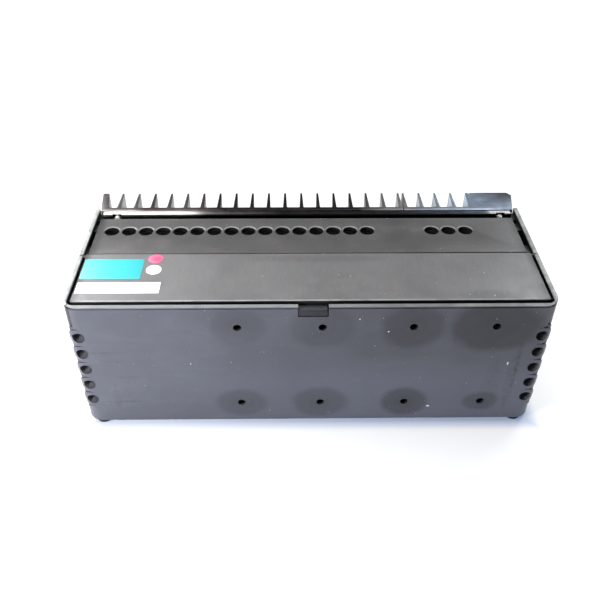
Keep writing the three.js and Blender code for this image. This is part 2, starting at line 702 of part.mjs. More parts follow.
function foot() {
  const { radius, edge } = FOOT;
  const profile = [
    [0, 0],
    [radius - edge, 0],
    [radius, edge],
    [radius, FOOT_HEIGHT - GAP],
    [0, FOOT_HEIGHT - GAP],
  ];
  const pad = new THREE.LatheGeometry(profile.map(([r, z]) => new THREE.Vector2(r, z)), 20);
  pad.rotateX(Math.PI / 2);
  return solid(pad);
}

// ---- materials ----
const finish = (color, roughness, metalness = 0) =>
  new THREE.MeshStandardMaterial({ color, roughness, metalness });

const MATERIALS = {
  case: finish(0x3c3e44, 0.55),
  cover: finish(0x45454a, 0.5),
  aluminium: finish(0xa9acb0, 0.38, 1),
  steel: finish(0xb4b4b0, 0.3, 1),
  rubber: finish(0x17171a, 0.85),
  terminal: finish(0x26272b, 0.5),
  board: finish(0x1d5a38, 0.45),
  capacitor: finish(0x22345c, 0.35),
  copper: finish(0xa86a3c, 0.4, 0.8),
  epoxy: finish(0x1b1b1d, 0.4),
  glass: finish(0xd8dcd8, 0.1),
  white: finish(0xe6e4da, 0.5),
};

// ---- assembly ----
const drive = new THREE.Group();
drive.name = "servo_drive";

function add(name, body, material, [x, d] = [0, 0]) {
  const mesh = new THREE.Mesh(geometryOf(body), MATERIALS[material]);
  mesh.name = name;
  mesh.position.set(x, d, 0);
  drive.add(mesh);
}

add("case_shell", caseShell(), "case");
add("bottom_cover", bottomCover(), "case");
add("chassis_plate", chassisPlate(), "aluminium");
add("heat_sink_left", heatSinkLeft(), "aluminium");
add("heat_sink_right", heatSinkRight(), "aluminium");
add("terminal_panel", terminalPanel(), "cover");
add("service_lid", serviceLid(), "cover");
add("lid_latch", lidLatch(), "case");

["left", "right"].forEach((name, i) => {
  add("clamp_screw_" + name, clampScrew(), "steel", [CHASSIS_NOTCH_X[i], 0]);
});

add("signal_terminal_block", terminalBlock(SIGNAL_WAYS, SIGNAL_CENTRE_X), "terminal");
add("output_terminal_block", terminalBlock(OUTPUT_WAYS, OUTPUT_CENTRE_X), "terminal");
TERMINAL_X.forEach((x, i) => {
  const number = String(i + 1).padStart(2, "0");
  add("terminal_screw_" + number, terminalScrew(), "steel", [x, 0]);
});

add("power_board", board(POWER_BOARD_Z, POWER_BOARD_SPAN), "board");
add("control_board", board(CONTROL_BOARD_Z, CONTROL_BOARD_SPAN), "board");
STANDS.forEach(([x, d], i) => add("board_standoff_" + (i + 1), standoff(), "steel", [x, d]));

CAPACITOR.xs.forEach((x, i) => {
  add("bus_capacitor_" + (i + 1), capacitor(), "capacitor", [x, FRONT + CAPACITOR.distance]);
});
add("supply_transformer", transformer(), "copper");
add("output_choke", choke(), "copper");
add("power_module", powerModule(), "epoxy");
add("bridge_rectifier", rectifier(), "epoxy");
add("fuse_holder", fuseHolder(), "epoxy");
add("fuse", fuse(), "glass");

add("dip_switch", dipSwitch(), "capacitor");
for (let i = 0; i < DIP.ways; i++) add("dip_slider_" + (i + 1), dipSlider(i), "white");
add("trimmer_row", trimmerRow(), "capacitor");
TRIMMER.xs.forEach((x, i) => add("trimmer_rotor_" + (i + 1), trimmerRotor(), "white", [x, 0]));

for (const [end, distance] of [["front", FOOT.distances[0]], ["back", FOOT.distances[1]]]) {
  for (const [name, side] of [["left", -1], ["right", 1]]) {
    add("foot_" + end + "_" + name, foot(), "rubber", [side * FOOT.x, FRONT + distance]);
  }
}

export default drive;
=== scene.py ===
import math
import random

import bmesh
import bpy
from mathutils import Matrix, Vector


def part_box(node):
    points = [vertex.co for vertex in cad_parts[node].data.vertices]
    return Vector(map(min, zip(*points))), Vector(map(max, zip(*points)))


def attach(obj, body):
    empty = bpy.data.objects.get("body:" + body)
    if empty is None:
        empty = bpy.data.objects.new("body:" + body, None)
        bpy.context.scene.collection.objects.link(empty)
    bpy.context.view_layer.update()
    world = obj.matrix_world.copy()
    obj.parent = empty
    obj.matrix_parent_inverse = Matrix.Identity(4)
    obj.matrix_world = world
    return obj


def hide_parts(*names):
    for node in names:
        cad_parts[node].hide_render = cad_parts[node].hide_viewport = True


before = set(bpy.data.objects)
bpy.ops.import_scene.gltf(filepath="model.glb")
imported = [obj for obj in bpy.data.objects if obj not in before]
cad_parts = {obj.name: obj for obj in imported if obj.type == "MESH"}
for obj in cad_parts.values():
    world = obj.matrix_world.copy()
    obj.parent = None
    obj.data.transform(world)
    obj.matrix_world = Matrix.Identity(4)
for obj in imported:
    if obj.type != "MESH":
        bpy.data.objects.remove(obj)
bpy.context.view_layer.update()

# ---- places and sizes, in metres, from the frame ----
MM = 0.001
CASE_LOW, CASE_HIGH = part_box("case_shell")
LID_LOW, LID_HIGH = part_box("service_lid")
PANEL_LOW, PANEL_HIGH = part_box("terminal_panel")
CHASSIS_LOW, CHASSIS_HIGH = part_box("chassis_plate")
LATCH_LOW, LATCH_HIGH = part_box("lid_latch")
SINK_LOW, SINK_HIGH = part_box("heat_sink_left")
FRONT = CASE_LOW.y
BOTTOM = CASE_LOW.z
TOP = CASE_HIGH.z
HALF_WIDTH = CASE_HIGH.x
WALL = 2.3 * MM
GAP = 0.3 * MM
CORNER_RADIUS = 8 * MM
INNER_CORNER_RADIUS = 3.5 * MM
END_RIM = 2.6 * MM
FRONT_TOP = TOP - 0.5 * MM  # the front wall stops lower than the end walls
FLUTE_COUNT = 5
FLUTE_TOP = BOTTOM + 61.2 * MM
FLUTE_PITCH = 11.05 * MM
FLUTES_LOW = FLUTE_TOP - (FLUTE_COUNT - 0.5) * FLUTE_PITCH
FLUTES_HIGH = FLUTE_TOP + FLUTE_PITCH / 2
FLUTE_X = HALF_WIDTH - 5.6 * MM
FLUTE_RADIUS = 5.3 * MM
FLUTE_BORE = 3.2 * MM
FLUTE_BORE_END = FRONT + 52 * MM
FLUTE_INNER_END = FRONT + 54 * MM
FLUTE_END = FRONT + 76 * MM
FLUTE_CORNER_RADIUS = 5.5 * MM
FLUTE_RECESS = HALF_WIDTH - 2 * MM  # face of the sunk wall behind the flutes
FLUTE_BACK = HALF_WIDTH - 4.4 * MM  # inner face of that wall
COVER_THICKNESS = 2.5 * MM
LID_HALF = HALF_WIDTH - WALL - 1.6 * MM  # half length of the lid's plate, without its pins

ROUND_STEPS = 48  # segments of a full circle on a visible edge
CORNER_STEPS = 14  # segments of a case corner
SAME_PLACE = 1e-6  # vertices closer than this, in metres, are one
FLAT_ANGLE = 0.5  # faces that meet at less than this many degrees are one face
SHARP_ANGLE = 35  # edges sharper than this are softened


def part(node):
    """Middle of a CAD node's box."""
    low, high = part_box(node)
    return (low + high) / 2


SCREWS = sorted(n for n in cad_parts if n.startswith("terminal_screw_"))
HOLE_ROWS = [(part(SCREWS[0]), part(SCREWS[15])), (part(SCREWS[16]), part(SCREWS[18]))]
HOLE_PITCH = part(SCREWS[1]).x - part(SCREWS[0]).x


# ---- mesh helpers ----
def link(name, data):
    made = bpy.data.objects.new(name, data)
    bpy.context.scene.collection.objects.link(made)
    return made


def baked(source):
    """A mesh object holding the source with its modifiers applied; the source is removed."""
    graph = bpy.context.evaluated_depsgraph_get()
    mesh = bpy.data.meshes.new_from_object(source.evaluated_get(graph))
    mesh.transform(source.matrix_world)
    name = source.name
    bpy.data.objects.remove(source)
    made = link(name, mesh)
    made.name = name
    mesh.name = name
    return made


def cleaned(obj):
    """Drops doubled vertices and slivers, and turns every face outwards."""
    bm = bmesh.new()
    bm.from_mesh(obj.data)
    bmesh.ops.remove_doubles(bm, verts=bm.verts, dist=SAME_PLACE)
    bmesh.ops.dissolve_degenerate(bm, edges=bm.edges, dist=SAME_PLACE)
    bmesh.ops.recalc_face_normals(bm, faces=bm.faces)
    bm.to_mesh(obj.data)
    bm.free()
    return obj


def slab(name, loops, low, high, edge=0.0, steps=3):
    """Closed outlines in plan, the first outside and the rest holes, raised between two heights.
    Its edges are rounded by edge."""
    curve = bpy.data.curves.new(name, "CURVE")
    curve.dimensions = "2D"
    curve.fill_mode = "BOTH"
    curve.extrude = (high - low) / 2 - edge
    curve.bevel_depth = edge
    curve.bevel_resolution = steps
    curve.offset = -edge
    for loop in loops:
        spline = curve.splines.new("POLY")
        spline.points.add(len(loop) - 1)
        for point, (x, y) in zip(spline.points, loop):
            point.co = (x, y, 0, 1)
        spline.use_cyclic_u = True
    source = link(name, curve)
    source.location.z = (low + high) / 2
    bpy.context.view_layer.update()
    return cleaned(baked(source))


def turned(obj, matrix):
    """Moves an object's mesh, with its faces still outwards after a mirror."""
    obj.data.transform(matrix)
    if matrix.determinant() < 0:
        obj.data.flip_normals()
    return obj


def arc(centre, radius, start, end, steps):
    """Points on an arc, angles in degrees."""
    angles = [math.radians(start + (end - start) * i / steps) for i in range(steps + 1)]
    return [(centre[0] + radius * math.cos(a), centre[1] + radius * math.sin(a)) for a in angles]


def circle(centre, radius, steps=ROUND_STEPS):
    return arc(centre, radius, 0, 360, steps)[:-1]


def rounded(low, high, radius, steps=6):
    """A rectangle's outline with round corners."""
    x0, y0, x1, y1 = low[0] + radius, low[1] + radius, high[0] - radius, high[1] - radius
    loop = arc((x1, y1), radius, 0, 90, steps) + arc((x0, y1), radius, 90, 180, steps)
    return loop + arc((x0, y0), radius, 180, 270, steps) + arc((x1, y0), radius, 270, 360, steps)


def box(name, low, high, edge=0.0, steps=2):
    """A block with rounded edges."""
    bm = bmesh.new()
    size = [h - l for l, h in zip(low, high)]
    middle = [(h + l) / 2 for l, h in zip(low, high)]
    bmesh.ops.create_cube(bm, size=1, matrix=Matrix.Translation(middle) @ Matrix.Diagonal((*size, 1)))
    if edge:
        bmesh.ops.bevel(bm, geom=bm.edges, offset=edge, segments=steps, affect="EDGES", profile=0.5)
    mesh = bpy.data.meshes.new(name)
    bm.to_mesh(mesh)
    bm.free()
    return link(name, mesh)


def spun(name, profile):
    """A closed body turned about the z axis from (radius, height) points that start and end on the axis."""
    bm = bmesh.new()
    rings = []
    for radius, z in profile:
        if radius == 0:
            rings.append([bm.verts.new((0, 0, z))])
            continue
        rings.append([bm.verts.new((x, y, z)) for x, y in circle((0, 0), radius)])
    for lower, upper in zip(rings, rings[1:]):
        for i in range(ROUND_STEPS):
            j = (i + 1) % ROUND_STEPS
            near = [lower[i % len(lower)], lower[j % len(lower)]]
            far = [upper[j % len(upper)], upper[i % len(upper)]]
            bm.faces.new(list(dict.fromkeys(near + far)))
    bmesh.ops.recalc_face_normals(bm, faces=bm.faces)
    mesh = bpy.data.meshes.new(name)
    bm.to_mesh(mesh)
    bm.free()
    return link(name, mesh)


def boolean(target, tools, operation):
    """Cuts tools from the target, or joins them to it. The tools are used up."""
    for tool in tools:
        modifier = target.modifiers.new(operation, "BOOLEAN")
        modifier.operation = operation
        modifier.solver = "MANIFOLD"
        modifier.object = tool
    bpy.context.view_layer.update()
    made = baked(target)
    for tool in tools:
        bpy.data.objects.remove(tool)
    return made


def cut(target, *tools):
    return boolean(target, tools, "DIFFERENCE")


def join(target, *tools):
    return boolean(target, tools, "UNION")


def common(target, *tools):
    return boolean(target, tools, "INTERSECT")


def soften(obj, width):
    """Rounds an object's sharp edges and keeps its flat faces flat."""
    weld = obj.modifiers.new("weld", "WELD")
    weld.merge_threshold = SAME_PLACE
    flatten = obj.modifiers.new("flatten", "DECIMATE")
    flatten.decimate_type = "DISSOLVE"
    flatten.angle_limit = math.radians(FLAT_ANGLE)
    bevel = obj.modifiers.new("bevel", "BEVEL")
    bevel.width = width
    bevel.segments = 2
    bevel.limit_method = "ANGLE"
    bevel.angle_limit = math.radians(SHARP_ANGLE)
    bevel.use_clamp_overlap = True


def smooth(obj, angle=32):
    """Smooth shading that keeps edges sharper than the angle."""
    obj.data.shade_smooth()
    limit = math.cos(math.radians(angle))
    bm = bmesh.new()
    bm.from_mesh(obj.data)
    for e in bm.edges:
        faces = e.link_faces
        e.smooth = len(faces) == 2 and faces[0].normal.dot(faces[1].normal) > limit
    bm.to_mesh(obj.data)
    bm.free()
    return obj


# ---- material helpers ----
class Finish:
    """A node-based material on a Principled shader. Textures run in the piece's own space, in metres."""

    def __init__(self, name, roughness, metallic=0.0):
        self.material = bpy.data.materials.new(name)
        self.material.use_nodes = True
        self.tree = self.material.node_tree
        self.shader = self.tree.nodes["Principled BSDF"]
        self.place = self.node("TexCoord").outputs["Object"]
        self.shader.inputs["Roughness"].default_value = roughness
        self.shader.inputs["Metallic"].default_value = metallic
        self.axes = self.node("SeparateXYZ", {"Vector": self.place}).outputs

    def node(self, kind, inputs=None, **settings):
        made = self.tree.nodes.new("ShaderNode" + kind)
        for key, value in settings.items():
            setattr(made, key, value)
        for key, value in (inputs or {}).items():
            if isinstance(value, bpy.types.NodeSocket):
                self.tree.links.new(value, made.inputs[key])
            else:
                made.inputs[key].default_value = value
        return made

    def math(self, operation, a, b=0.0):
        return self.node("Math", {0: a, 1: b}, operation=operation).outputs[0]

    def times(self, *values):
        """The product of two or more values."""
        product = values[0]
        for value in values[1:]:
            product = self.math("MULTIPLY", product, value)
        return product

    def remap(self, value, low, high, to_low=0.0, to_high=1.0, smoothly=True):
        inputs = {"Value": value, "From Min": low, "From Max": high, "To Min": to_low, "To Max": to_high}
        kind = "SMOOTHSTEP" if smoothly else "LINEAR"
        return self.node("MapRange", inputs, interpolation_type=kind).outputs["Result"]

    def stretched(self, x, y, z):
        return self.node("VectorMath", {0: self.place, 1: (x, y, z)}, operation="MULTIPLY").outputs[0]

    def noise(self, size, stretch=(1, 1, 1), detail=3.0, roughness=0.55, distortion=0.0):
        """Cloudy variation, with features of about this size in metres. Where stretch is small along an
        axis, they are drawn out along it."""
        inputs = {
            "Vector": self.stretched(*stretch),
            "Scale": 1 / size,
            "Detail": detail,
            "Roughness": roughness,
            "Distortion": distortion,
        }
        return self.node("TexNoise", inputs).outputs["Fac"]

    def specks(self, spacing, radius, share):
        """Small round specks, one in some of the cells of a grid of this spacing."""
        cells = self.node("TexVoronoi", {"Vector": self.place, "Scale": 1 / spacing})
        near = self.remap(cells.outputs["Distance"], radius / spacing, 0.6 * radius / spacing)
        chosen = self.math("LESS_THAN", cells.outputs["Color"], share)
        return self.times(near, chosen)

    def spot(self, centre, radii, softness=0.15, wobble=None):
        """1 inside an ellipsoid and 0 outside, with a soft edge."""
        away = self.node("VectorMath", {0: self.place, 1: centre}, operation="SUBTRACT").outputs[0]
        inverse = tuple(1 / r for r in radii)
        shrunk = self.node("VectorMath", {0: away, 1: inverse}, operation="MULTIPLY").outputs[0]
        reach = self.node("VectorMath", {0: shrunk}, operation="LENGTH").outputs["Value"]
        if wobble is not None:
            reach = self.math("ADD", reach, wobble)
        return self.remap(reach, 1 + softness, 1 - softness)

    def mix(self, factor, base, other, blend="MIX"):
        made = self.node("Mix", {"Factor": factor}, data_type="RGBA", blend_type=blend)
        for socket, value in ((made.inputs[6], base), (made.inputs[7], other)):
            if isinstance(value, bpy.types.NodeSocket):
                self.tree.links.new(value, socket)
            else:
                socket.default_value = (*value, 1)
        return made.outputs[2]

    def ramp(self, factor, stops):
        """Colours at places along 0 to 1."""
        made = self.node("ValToRGB", {"Fac": factor})
        points = made.color_ramp.elements
        while len(points) < len(stops):
            points.new(0.5)
        for point, (at, colour) in zip(points, stops):
            point.position = at
            point.color = (*colour, 1)
        return made.outputs["Color"]

    def colour(self, socket):
        self.tree.links.new(socket, self.shader.inputs["Base Color"])

    def rough(self, socket):
        self.tree.links.new(socket, self.shader.inputs["Roughness"])

    def bump(self, height, distance, strength):
        inputs = {"Height": height, "Distance": distance, "Strength": strength}
        made = self.node("Bump", inputs)
        self.tree.links.new(made.outputs["Normal"], self.shader.inputs["Normal"])


def scaled(colour, by):
    return tuple(c * by for c in colour)


# ---- finishes of the outside ----
HOLE_X = [-37.3 * MM, 5.6 * MM, 51.5 * MM, 93.4 * MM]
HOLE_Z = [BOTTOM + 67.7 * MM, BOTTOM + 13.7 * MM]
# half width and half height in mm, and darkening, of the stain round each hole, top row and then bottom row
STAINS = [
    [(13.5, 12, 0.26), (16, 14, 0.34), (16, 14, 0.55), (23, 16.5, 0.8)],
    [(13.5, 10, 0.4), (14.5, 11, 0.45), (12.5, 10.5, 0.62), (9.5, 7, 0.5)],
]
# x, z, half length and half height in mm, and darkening, of the rubbed streaks on the front
STREAKS = [
    (-106, 51, 9, 0.7, 0.22),
    (-102, 45, 8, 0.6, 0.12),
    (-97, 33.5, 7, 0.7, 0.16),
    (-99, 15, 10, 0.8, 0.24),
    (-104, 17, 1.4, 9, 0.16),
    (97, 27, 4, 18, 0.12),
    (107, 30, 2.4, 22, 0.16),
    (108.5, 44, 1.2, 20, 0.3),
]
# x, z, half length and half height in mm of the pale chips on the front
CHIPS = [
    (65, 10, 0.9, 0.6),
    (103.5, 42, 0.4, 1.1),
    (39, 64.7, 0.4, 0.4),
    (24, 73, 0.35, 0.35),
    (-62.6, 43, 0.3, 0.3),
]
MARK_DEPTH = 4 * MM  # how far a mark on the front reaches into the wall


def moulded(name, base, roughness):
    """The case's fine-grained plastic, before its own marks."""
    finish = Finish(name, roughness)
    cloud = finish.noise(38 * MM, detail=4)
    colour = finish.mix(finish.remap(cloud, 0.3, 0.7), scaled(base, 0.9), scaled(base, 1.1))
    rough = finish.remap(finish.noise(9 * MM, detail=5), 0.3, 0.7, roughness - 0.06, roughness + 0.06)
    finish.rough(rough)
    finish.bump(finish.noise(0.45 * MM, detail=2), 0.02 * MM, 0.6)
    return finish, colour


CASE_TONE = (0.058, 0.062, 0.082)
STAIN_TONE = (0.009, 0.011, 0.017)
LOWER_FRONT_TONE = (0.092, 0.102, 0.14)  # the lighter lower part of the front
RIM_HIGHLIGHT_TONE = (0.36, 0.38, 0.34)  # painted highlight on the top edges of the end walls
STRIP_HIGHLIGHT_TONES = ((0.16, 0.17, 0.19), (0.045, 0.05, 0.06))  # painted highlight on the front wall's top edge, at the left and at the right
# painted light on the lower, outer side of the flutes' bores
BORE_LIGHT_TONE = (0.15, 0.155, 0.16)
BLACK = (0.004, 0.004, 0.004)


def case_marks(finish, colour):
    """Stains round the front holes, darker in the middle, and rubbed streaks on the front."""
    wobble = finish.times(finish.math("SUBTRACT", finish.noise(9 * MM), 0.5), 0.35)
    for z, row in zip(HOLE_Z, STAINS):
        for x, (half_x, half_z, depth) in zip(HOLE_X, row):
            centre = (x, FRONT, z)
            mark = finish.spot(centre, (half_x * MM, MARK_DEPTH, half_z * MM), 0.22, wobble)
            inner = finish.spot(centre, (0.45 * half_x * MM, MARK_DEPTH, 0.45 * half_z * MM), 0.35, wobble)
            colour = finish.mix(finish.times(mark, depth), colour, STAIN_TONE)
            colour = finish.mix(finish.times(inner, depth * 0.35), colour, STAIN_TONE)
    frayed = finish.remap(finish.noise(3 * MM, detail=4), 0.3, 0.65)
    for x, z, half_x, half_z, depth in STREAKS:
        place = (x * MM, FRONT, BOTTOM + z * MM)
        mark = finish.spot(place, (half_x * MM, MARK_DEPTH, half_z * MM), 0.5, wobble)
        colour = finish.mix(finish.times(mark, frayed, depth * 1.6), colour, STAIN_TONE)
    return colour


def case_dust(finish, colour):
    """Pale specks, a few brown ones, and the pale chips."""
    dust = finish.math("ADD", finish.specks(8 * MM, 0.28 * MM, 0.45), finish.specks(3.4 * MM, 0.16 * MM, 0.4))
    colour = finish.mix(finish.times(dust, 0.7), colour, (0.6, 0.6, 0.6))
    brown = finish.times(finish.specks(13 * MM, 0.5 * MM, 0.3), 0.5)
    colour = finish.mix(brown, colour, (0.1, 0.06, 0.05))
    for x, z, half_x, half_z in CHIPS:
        place = (x * MM, FRONT, BOTTOM + z * MM)
        chip = finish.spot(place, (half_x * MM, 2 * MM, half_z * MM), 0.2)
        colour = finish.mix(finish.times(chip, 0.85), colour, (0.75, 0.75, 0.73))
    return colour


def case_film(finish, colour):
    """A rubbed cloudy film, and a lighter lower part of the front, most of all at the right."""
    film = finish.remap(finish.noise(24 * MM, (0.5, 1, 1.4), 5, 0.6, 0.6), 0.45, 0.75)
    colour = finish.mix(finish.times(film, 0.25), colour, scaled(CASE_TONE, 1.8))
    low = finish.remap(finish.axes["Z"], BOTTOM + 52 * MM, BOTTOM + 26 * MM)
    rightward = finish.remap(finish.axes["X"], -80 * MM, 70 * MM, 0.15, 0.8)
    return finish.mix(finish.times(low, rightward), colour, LOWER_FRONT_TONE)


def case_edges(finish, colour):
    """Painted highlights: pale ones on the end walls' top edges, and patchy ones on the front wall's, lighter
    at the left.
    """
    high = finish.remap(finish.axes["Z"], TOP - 0.7 * MM, TOP - 0.3 * MM)
    rim_highlight_patches = finish.remap(finish.noise(5 * MM), 0.2, 0.6, 0.6, 0.95)
    colour = finish.mix(finish.times(high, rim_highlight_patches), colour, RIM_HIGHLIGHT_TONE)
    strip = finish.remap(finish.axes["Z"], FRONT_TOP - 0.5 * MM, FRONT_TOP - 0.25 * MM)
    patchy = finish.remap(finish.noise(7 * MM, (0.5, 1, 1), 4), 0.3, 0.7, 0.1, 0.7)
    rightward = finish.remap(finish.axes["X"], -30 * MM, 90 * MM)
    # painted highlight along the front wall's top edge, lighter at the left
    pale = finish.mix(rightward, *STRIP_HIGHLIGHT_TONES)
    return finish.mix(finish.times(strip, patchy), colour, pale)


def case_finish():
    finish, colour = moulded("case plastic", CASE_TONE, 0.42)
    for layer in (case_film, case_marks, case_dust, case_edges, case_shade):
        colour = layer(finish, colour)
    finish.colour(colour)
    return finish.material


# reach of the painted shade (black) and of the painted light in a flute's bore
WELL_RADII = (3 * MM, 9 * MM, 2.8 * MM)
BORE_LIGHT_RADII = (3.2 * MM, 6 * MM, 3 * MM)


def case_shade(finish, colour):
    """Painted shade that leaves the inner faces and the upper, inner side of each flute's bore black, with a
    painted lit patch on the lower, outer side of each bore.
    """
    across = finish.math("ABSOLUTE", finish.axes["X"])
    behind = finish.math("GREATER_THAN", finish.axes["Y"], FRONT + 1.2 * MM)
    below = finish.math("LESS_THAN", finish.axes["Z"], TOP - 0.9 * MM)
    middle = finish.math("LESS_THAN", across, FLUTE_X - FLUTE_BORE - 0.4 * MM)
    above = finish.math("GREATER_THAN", finish.axes["Z"], FLUTE_TOP + 6 * MM)
    inside = finish.math("LESS_THAN", across, HALF_WIDTH - 1.9 * MM)
    region = finish.math("MAXIMUM", middle, finish.times(above, inside))
    # painted shade: the inner faces turn black
    colour = finish.mix(finish.times(region, behind, below), colour, BLACK)
    for side in (-1, 1):
        for i in range(FLUTE_COUNT):
            z = FLUTE_TOP - i * FLUTE_PITCH
            well_place = (side * (FLUTE_X - 1.8 * MM), FRONT + 9 * MM, z + 2 * MM)
            bore_light_place = (side * (FLUTE_X + 1.8 * MM), FRONT + 5 * MM, z - 1.2 * MM)
            # painted light on the bore's lower, outer side, then painted shade on its upper, inner side
            bore_light = finish.spot(bore_light_place, BORE_LIGHT_RADII, 0.3)
            colour = finish.mix(finish.times(bore_light, 0.8), colour, BORE_LIGHT_TONE)
            colour = finish.mix(finish.spot(well_place, WELL_RADII, 0.25), colour, BLACK)
    return colour


def hole_rim_highlights(finish, colour, first, last):
    """Painted highlights on the rims on the far side of a row of screwdriver holes."""
    half_pitch = HOLE_PITCH / 2
    away_x = finish.math("PINGPONG", finish.math("SUBTRACT", finish.axes["X"], first.x), half_pitch)
    away_y = finish.math("SUBTRACT", finish.axes["Y"], first.y)
    square = finish.math("ADD", finish.math("POWER", away_x, 2), finish.math("POWER", away_y, 2))
    ring = finish.remap(finish.math("SQRT", square), 5 * MM, 4.5 * MM)
    after = finish.math("GREATER_THAN", finish.axes["X"], first.x - half_pitch)
    before = finish.math("LESS_THAN", finish.axes["X"], last.x + half_pitch)
    far = finish.remap(away_y, -MM, 3 * MM)
    # painted highlight on the far rims
    return finish.mix(finish.times(ring, after, before, far, 0.55), colour, (0.3, 0.3, 0.29))


def cover_dirt(finish, colour, base, marks):
    """Drag marks, smears, dust and brown dirt on a cover."""
    grain = finish.noise(0.7 * MM, (1, 0.1, 1), 3)
    colour = finish.mix(finish.remap(grain, 0.3, 0.7, 0, 0.16), colour, scaled(base, 1.7))
    smear = finish.remap(finish.noise(20 * MM, (0.6, 1, 1), 4, 0.6, 0.8), 0.5, 0.72)
    colour = finish.mix(finish.times(smear, 0.25), colour, scaled(base, 0.6))
    for x, y, half_x, half_y, depth in marks:
        centre = (x * MM, FRONT + y * MM, TOP)
        mark = finish.spot(centre, (half_x * MM, half_y * MM, 6 * MM), 0.5)
        colour = finish.mix(finish.times(mark, depth), colour, scaled(base, 0.4))
    dust = finish.math("ADD", finish.specks(6 * MM, 0.42 * MM, 0.4), finish.specks(3 * MM, 0.24 * MM, 0.4))
    rightward = finish.remap(finish.axes["X"], -60 * MM, 40 * MM, 0.25, 0.7)
    colour = finish.mix(finish.times(dust, rightward), colour, (0.55, 0.54, 0.52))
    brown = finish.remap(finish.noise(9 * MM, detail=4), 0.56, 0.72, 0, 0.25)
    return finish.mix(brown, colour, (0.12, 0.085, 0.075))


def front_edge_highlight(finish, colour):
    """A painted highlight along the lid's front edge."""
    front = finish.remap(finish.axes["Y"], LID_LOW.y + 0.9 * MM, LID_LOW.y + 0.5 * MM)
    upper = finish.remap(finish.axes["Z"], TOP - 0.75 * MM, TOP - 0.45 * MM)
    patchy = finish.remap(finish.noise(6 * MM, (0.6, 1, 1), 4), 0.3, 0.65, 0.35, 0.9)
    return finish.mix(finish.times(front, upper, patchy), colour, (0.3, 0.31, 0.33))


def cover_shade(finish, colour, half):
    """Painted shade along the ends of a cover, on its pins and below its top face."""
    across = finish.math("ABSOLUTE", finish.axes["X"])
    ends = finish.remap(across, half - 5 * MM, half, 0, 0.75)
    pins = finish.math("GREATER_THAN", across, half)
    colour = finish.mix(finish.math("MAXIMUM", ends, pins), colour, BLACK)
    under = finish.remap(finish.axes["Z"], TOP - 0.25 * MM, TOP - 0.45 * MM)
    return finish.mix(under, colour, BLACK)


def cover_finish(name, base, half, marks, rows=()):
    """The lid and the terminal cover: satin plastic with faint drag marks, dust and smears, painted
    highlights on edges and hole rims, and painted shade.
    """
    finish, colour = moulded(name, base, 0.46)
    colour = cover_dirt(finish, colour, base, marks)
    colour = front_edge_highlight(finish, colour)
    for first, last in rows:
        colour = hole_rim_highlights(finish, colour, first, last)
    finish.colour(cover_shade(finish, colour, half))
    return finish.material


# x in mm and colour of the painted reflection along the heat sink's top end: grey at the left, black in
# the middle, bluish at the right
SINK_REFLECTION_TONES = [
    (-123, (0.33, 0.31, 0.3)),
    (-102, (0.36, 0.34, 0.33)),
    (-95, (0.12, 0.09, 0.08)),
    (-86, (0.18, 0.16, 0.155)),
    (-76, (0.28, 0.26, 0.25)),
    (-62, (0.14, 0.1, 0.095)),
    (-50, (0.03, 0.022, 0.022)),
    (30, (0.02, 0.018, 0.02)),
    (40, (0.3, 0.28, 0.28)),
    (58, (0.5, 0.48, 0.48)),
    (66, (0.45, 0.5, 0.56)),
    (87, (0.56, 0.65, 0.76)),
    (98, (0.5, 0.62, 0.77)),
    (104, (0.38, 0.47, 0.59)),
    (110, (0.22, 0.27, 0.34)),
    (116, (0.09, 0.11, 0.14)),
    (122, (0.08, 0.095, 0.12)),
]


def aluminium_finish(name):
    """Extruded aluminium: drawn lines along z, saw marks, random tarnish, and a painted reflection along the
    top end.
    """
    roughness = 0.38
    finish = Finish(name, roughness, 1.0)
    stops = [((x * MM + HALF_WIDTH) / (2 * HALF_WIDTH), tone) for x, tone in SINK_REFLECTION_TONES]
    wander = finish.times(finish.math("SUBTRACT", finish.noise(14 * MM), 0.5), 10 * MM)
    place = finish.math("ADD", finish.axes["X"], wander)
    colour = finish.ramp(finish.remap(place, -HALF_WIDTH, HALF_WIDTH, smoothly=False), stops)
    end = finish.remap(finish.axes["Z"], SINK_HIGH.z - 9 * MM, SINK_HIGH.z - MM)
    colour = finish.mix(end, (0.42, 0.42, 0.43), colour)
    tarnish = finish.remap(finish.noise(16 * MM, (1, 1, 0.3), 5, 0.6, 0.4), 0.35, 0.7, 0, 0.35)
    colour = finish.mix(tarnish, colour, (0.08, 0.06, 0.06))
    lines = finish.noise(0.5 * MM, (1, 1, 0.02), 3)
    saw = finish.noise(0.6 * MM, (0.05, 1, 1), 3)
    both = finish.math("ADD", lines, saw)
    colour = finish.mix(finish.remap(both, 0.8, 1.25, 0, 0.35), colour, (0.1, 0.1, 0.11))
    finish.colour(colour)
    finish.rough(finish.remap(both, 0.7, 1.3, roughness - 0.1, roughness + 0.15))
    finish.bump(both, 0.03 * MM, 0.5)
    return finish.material


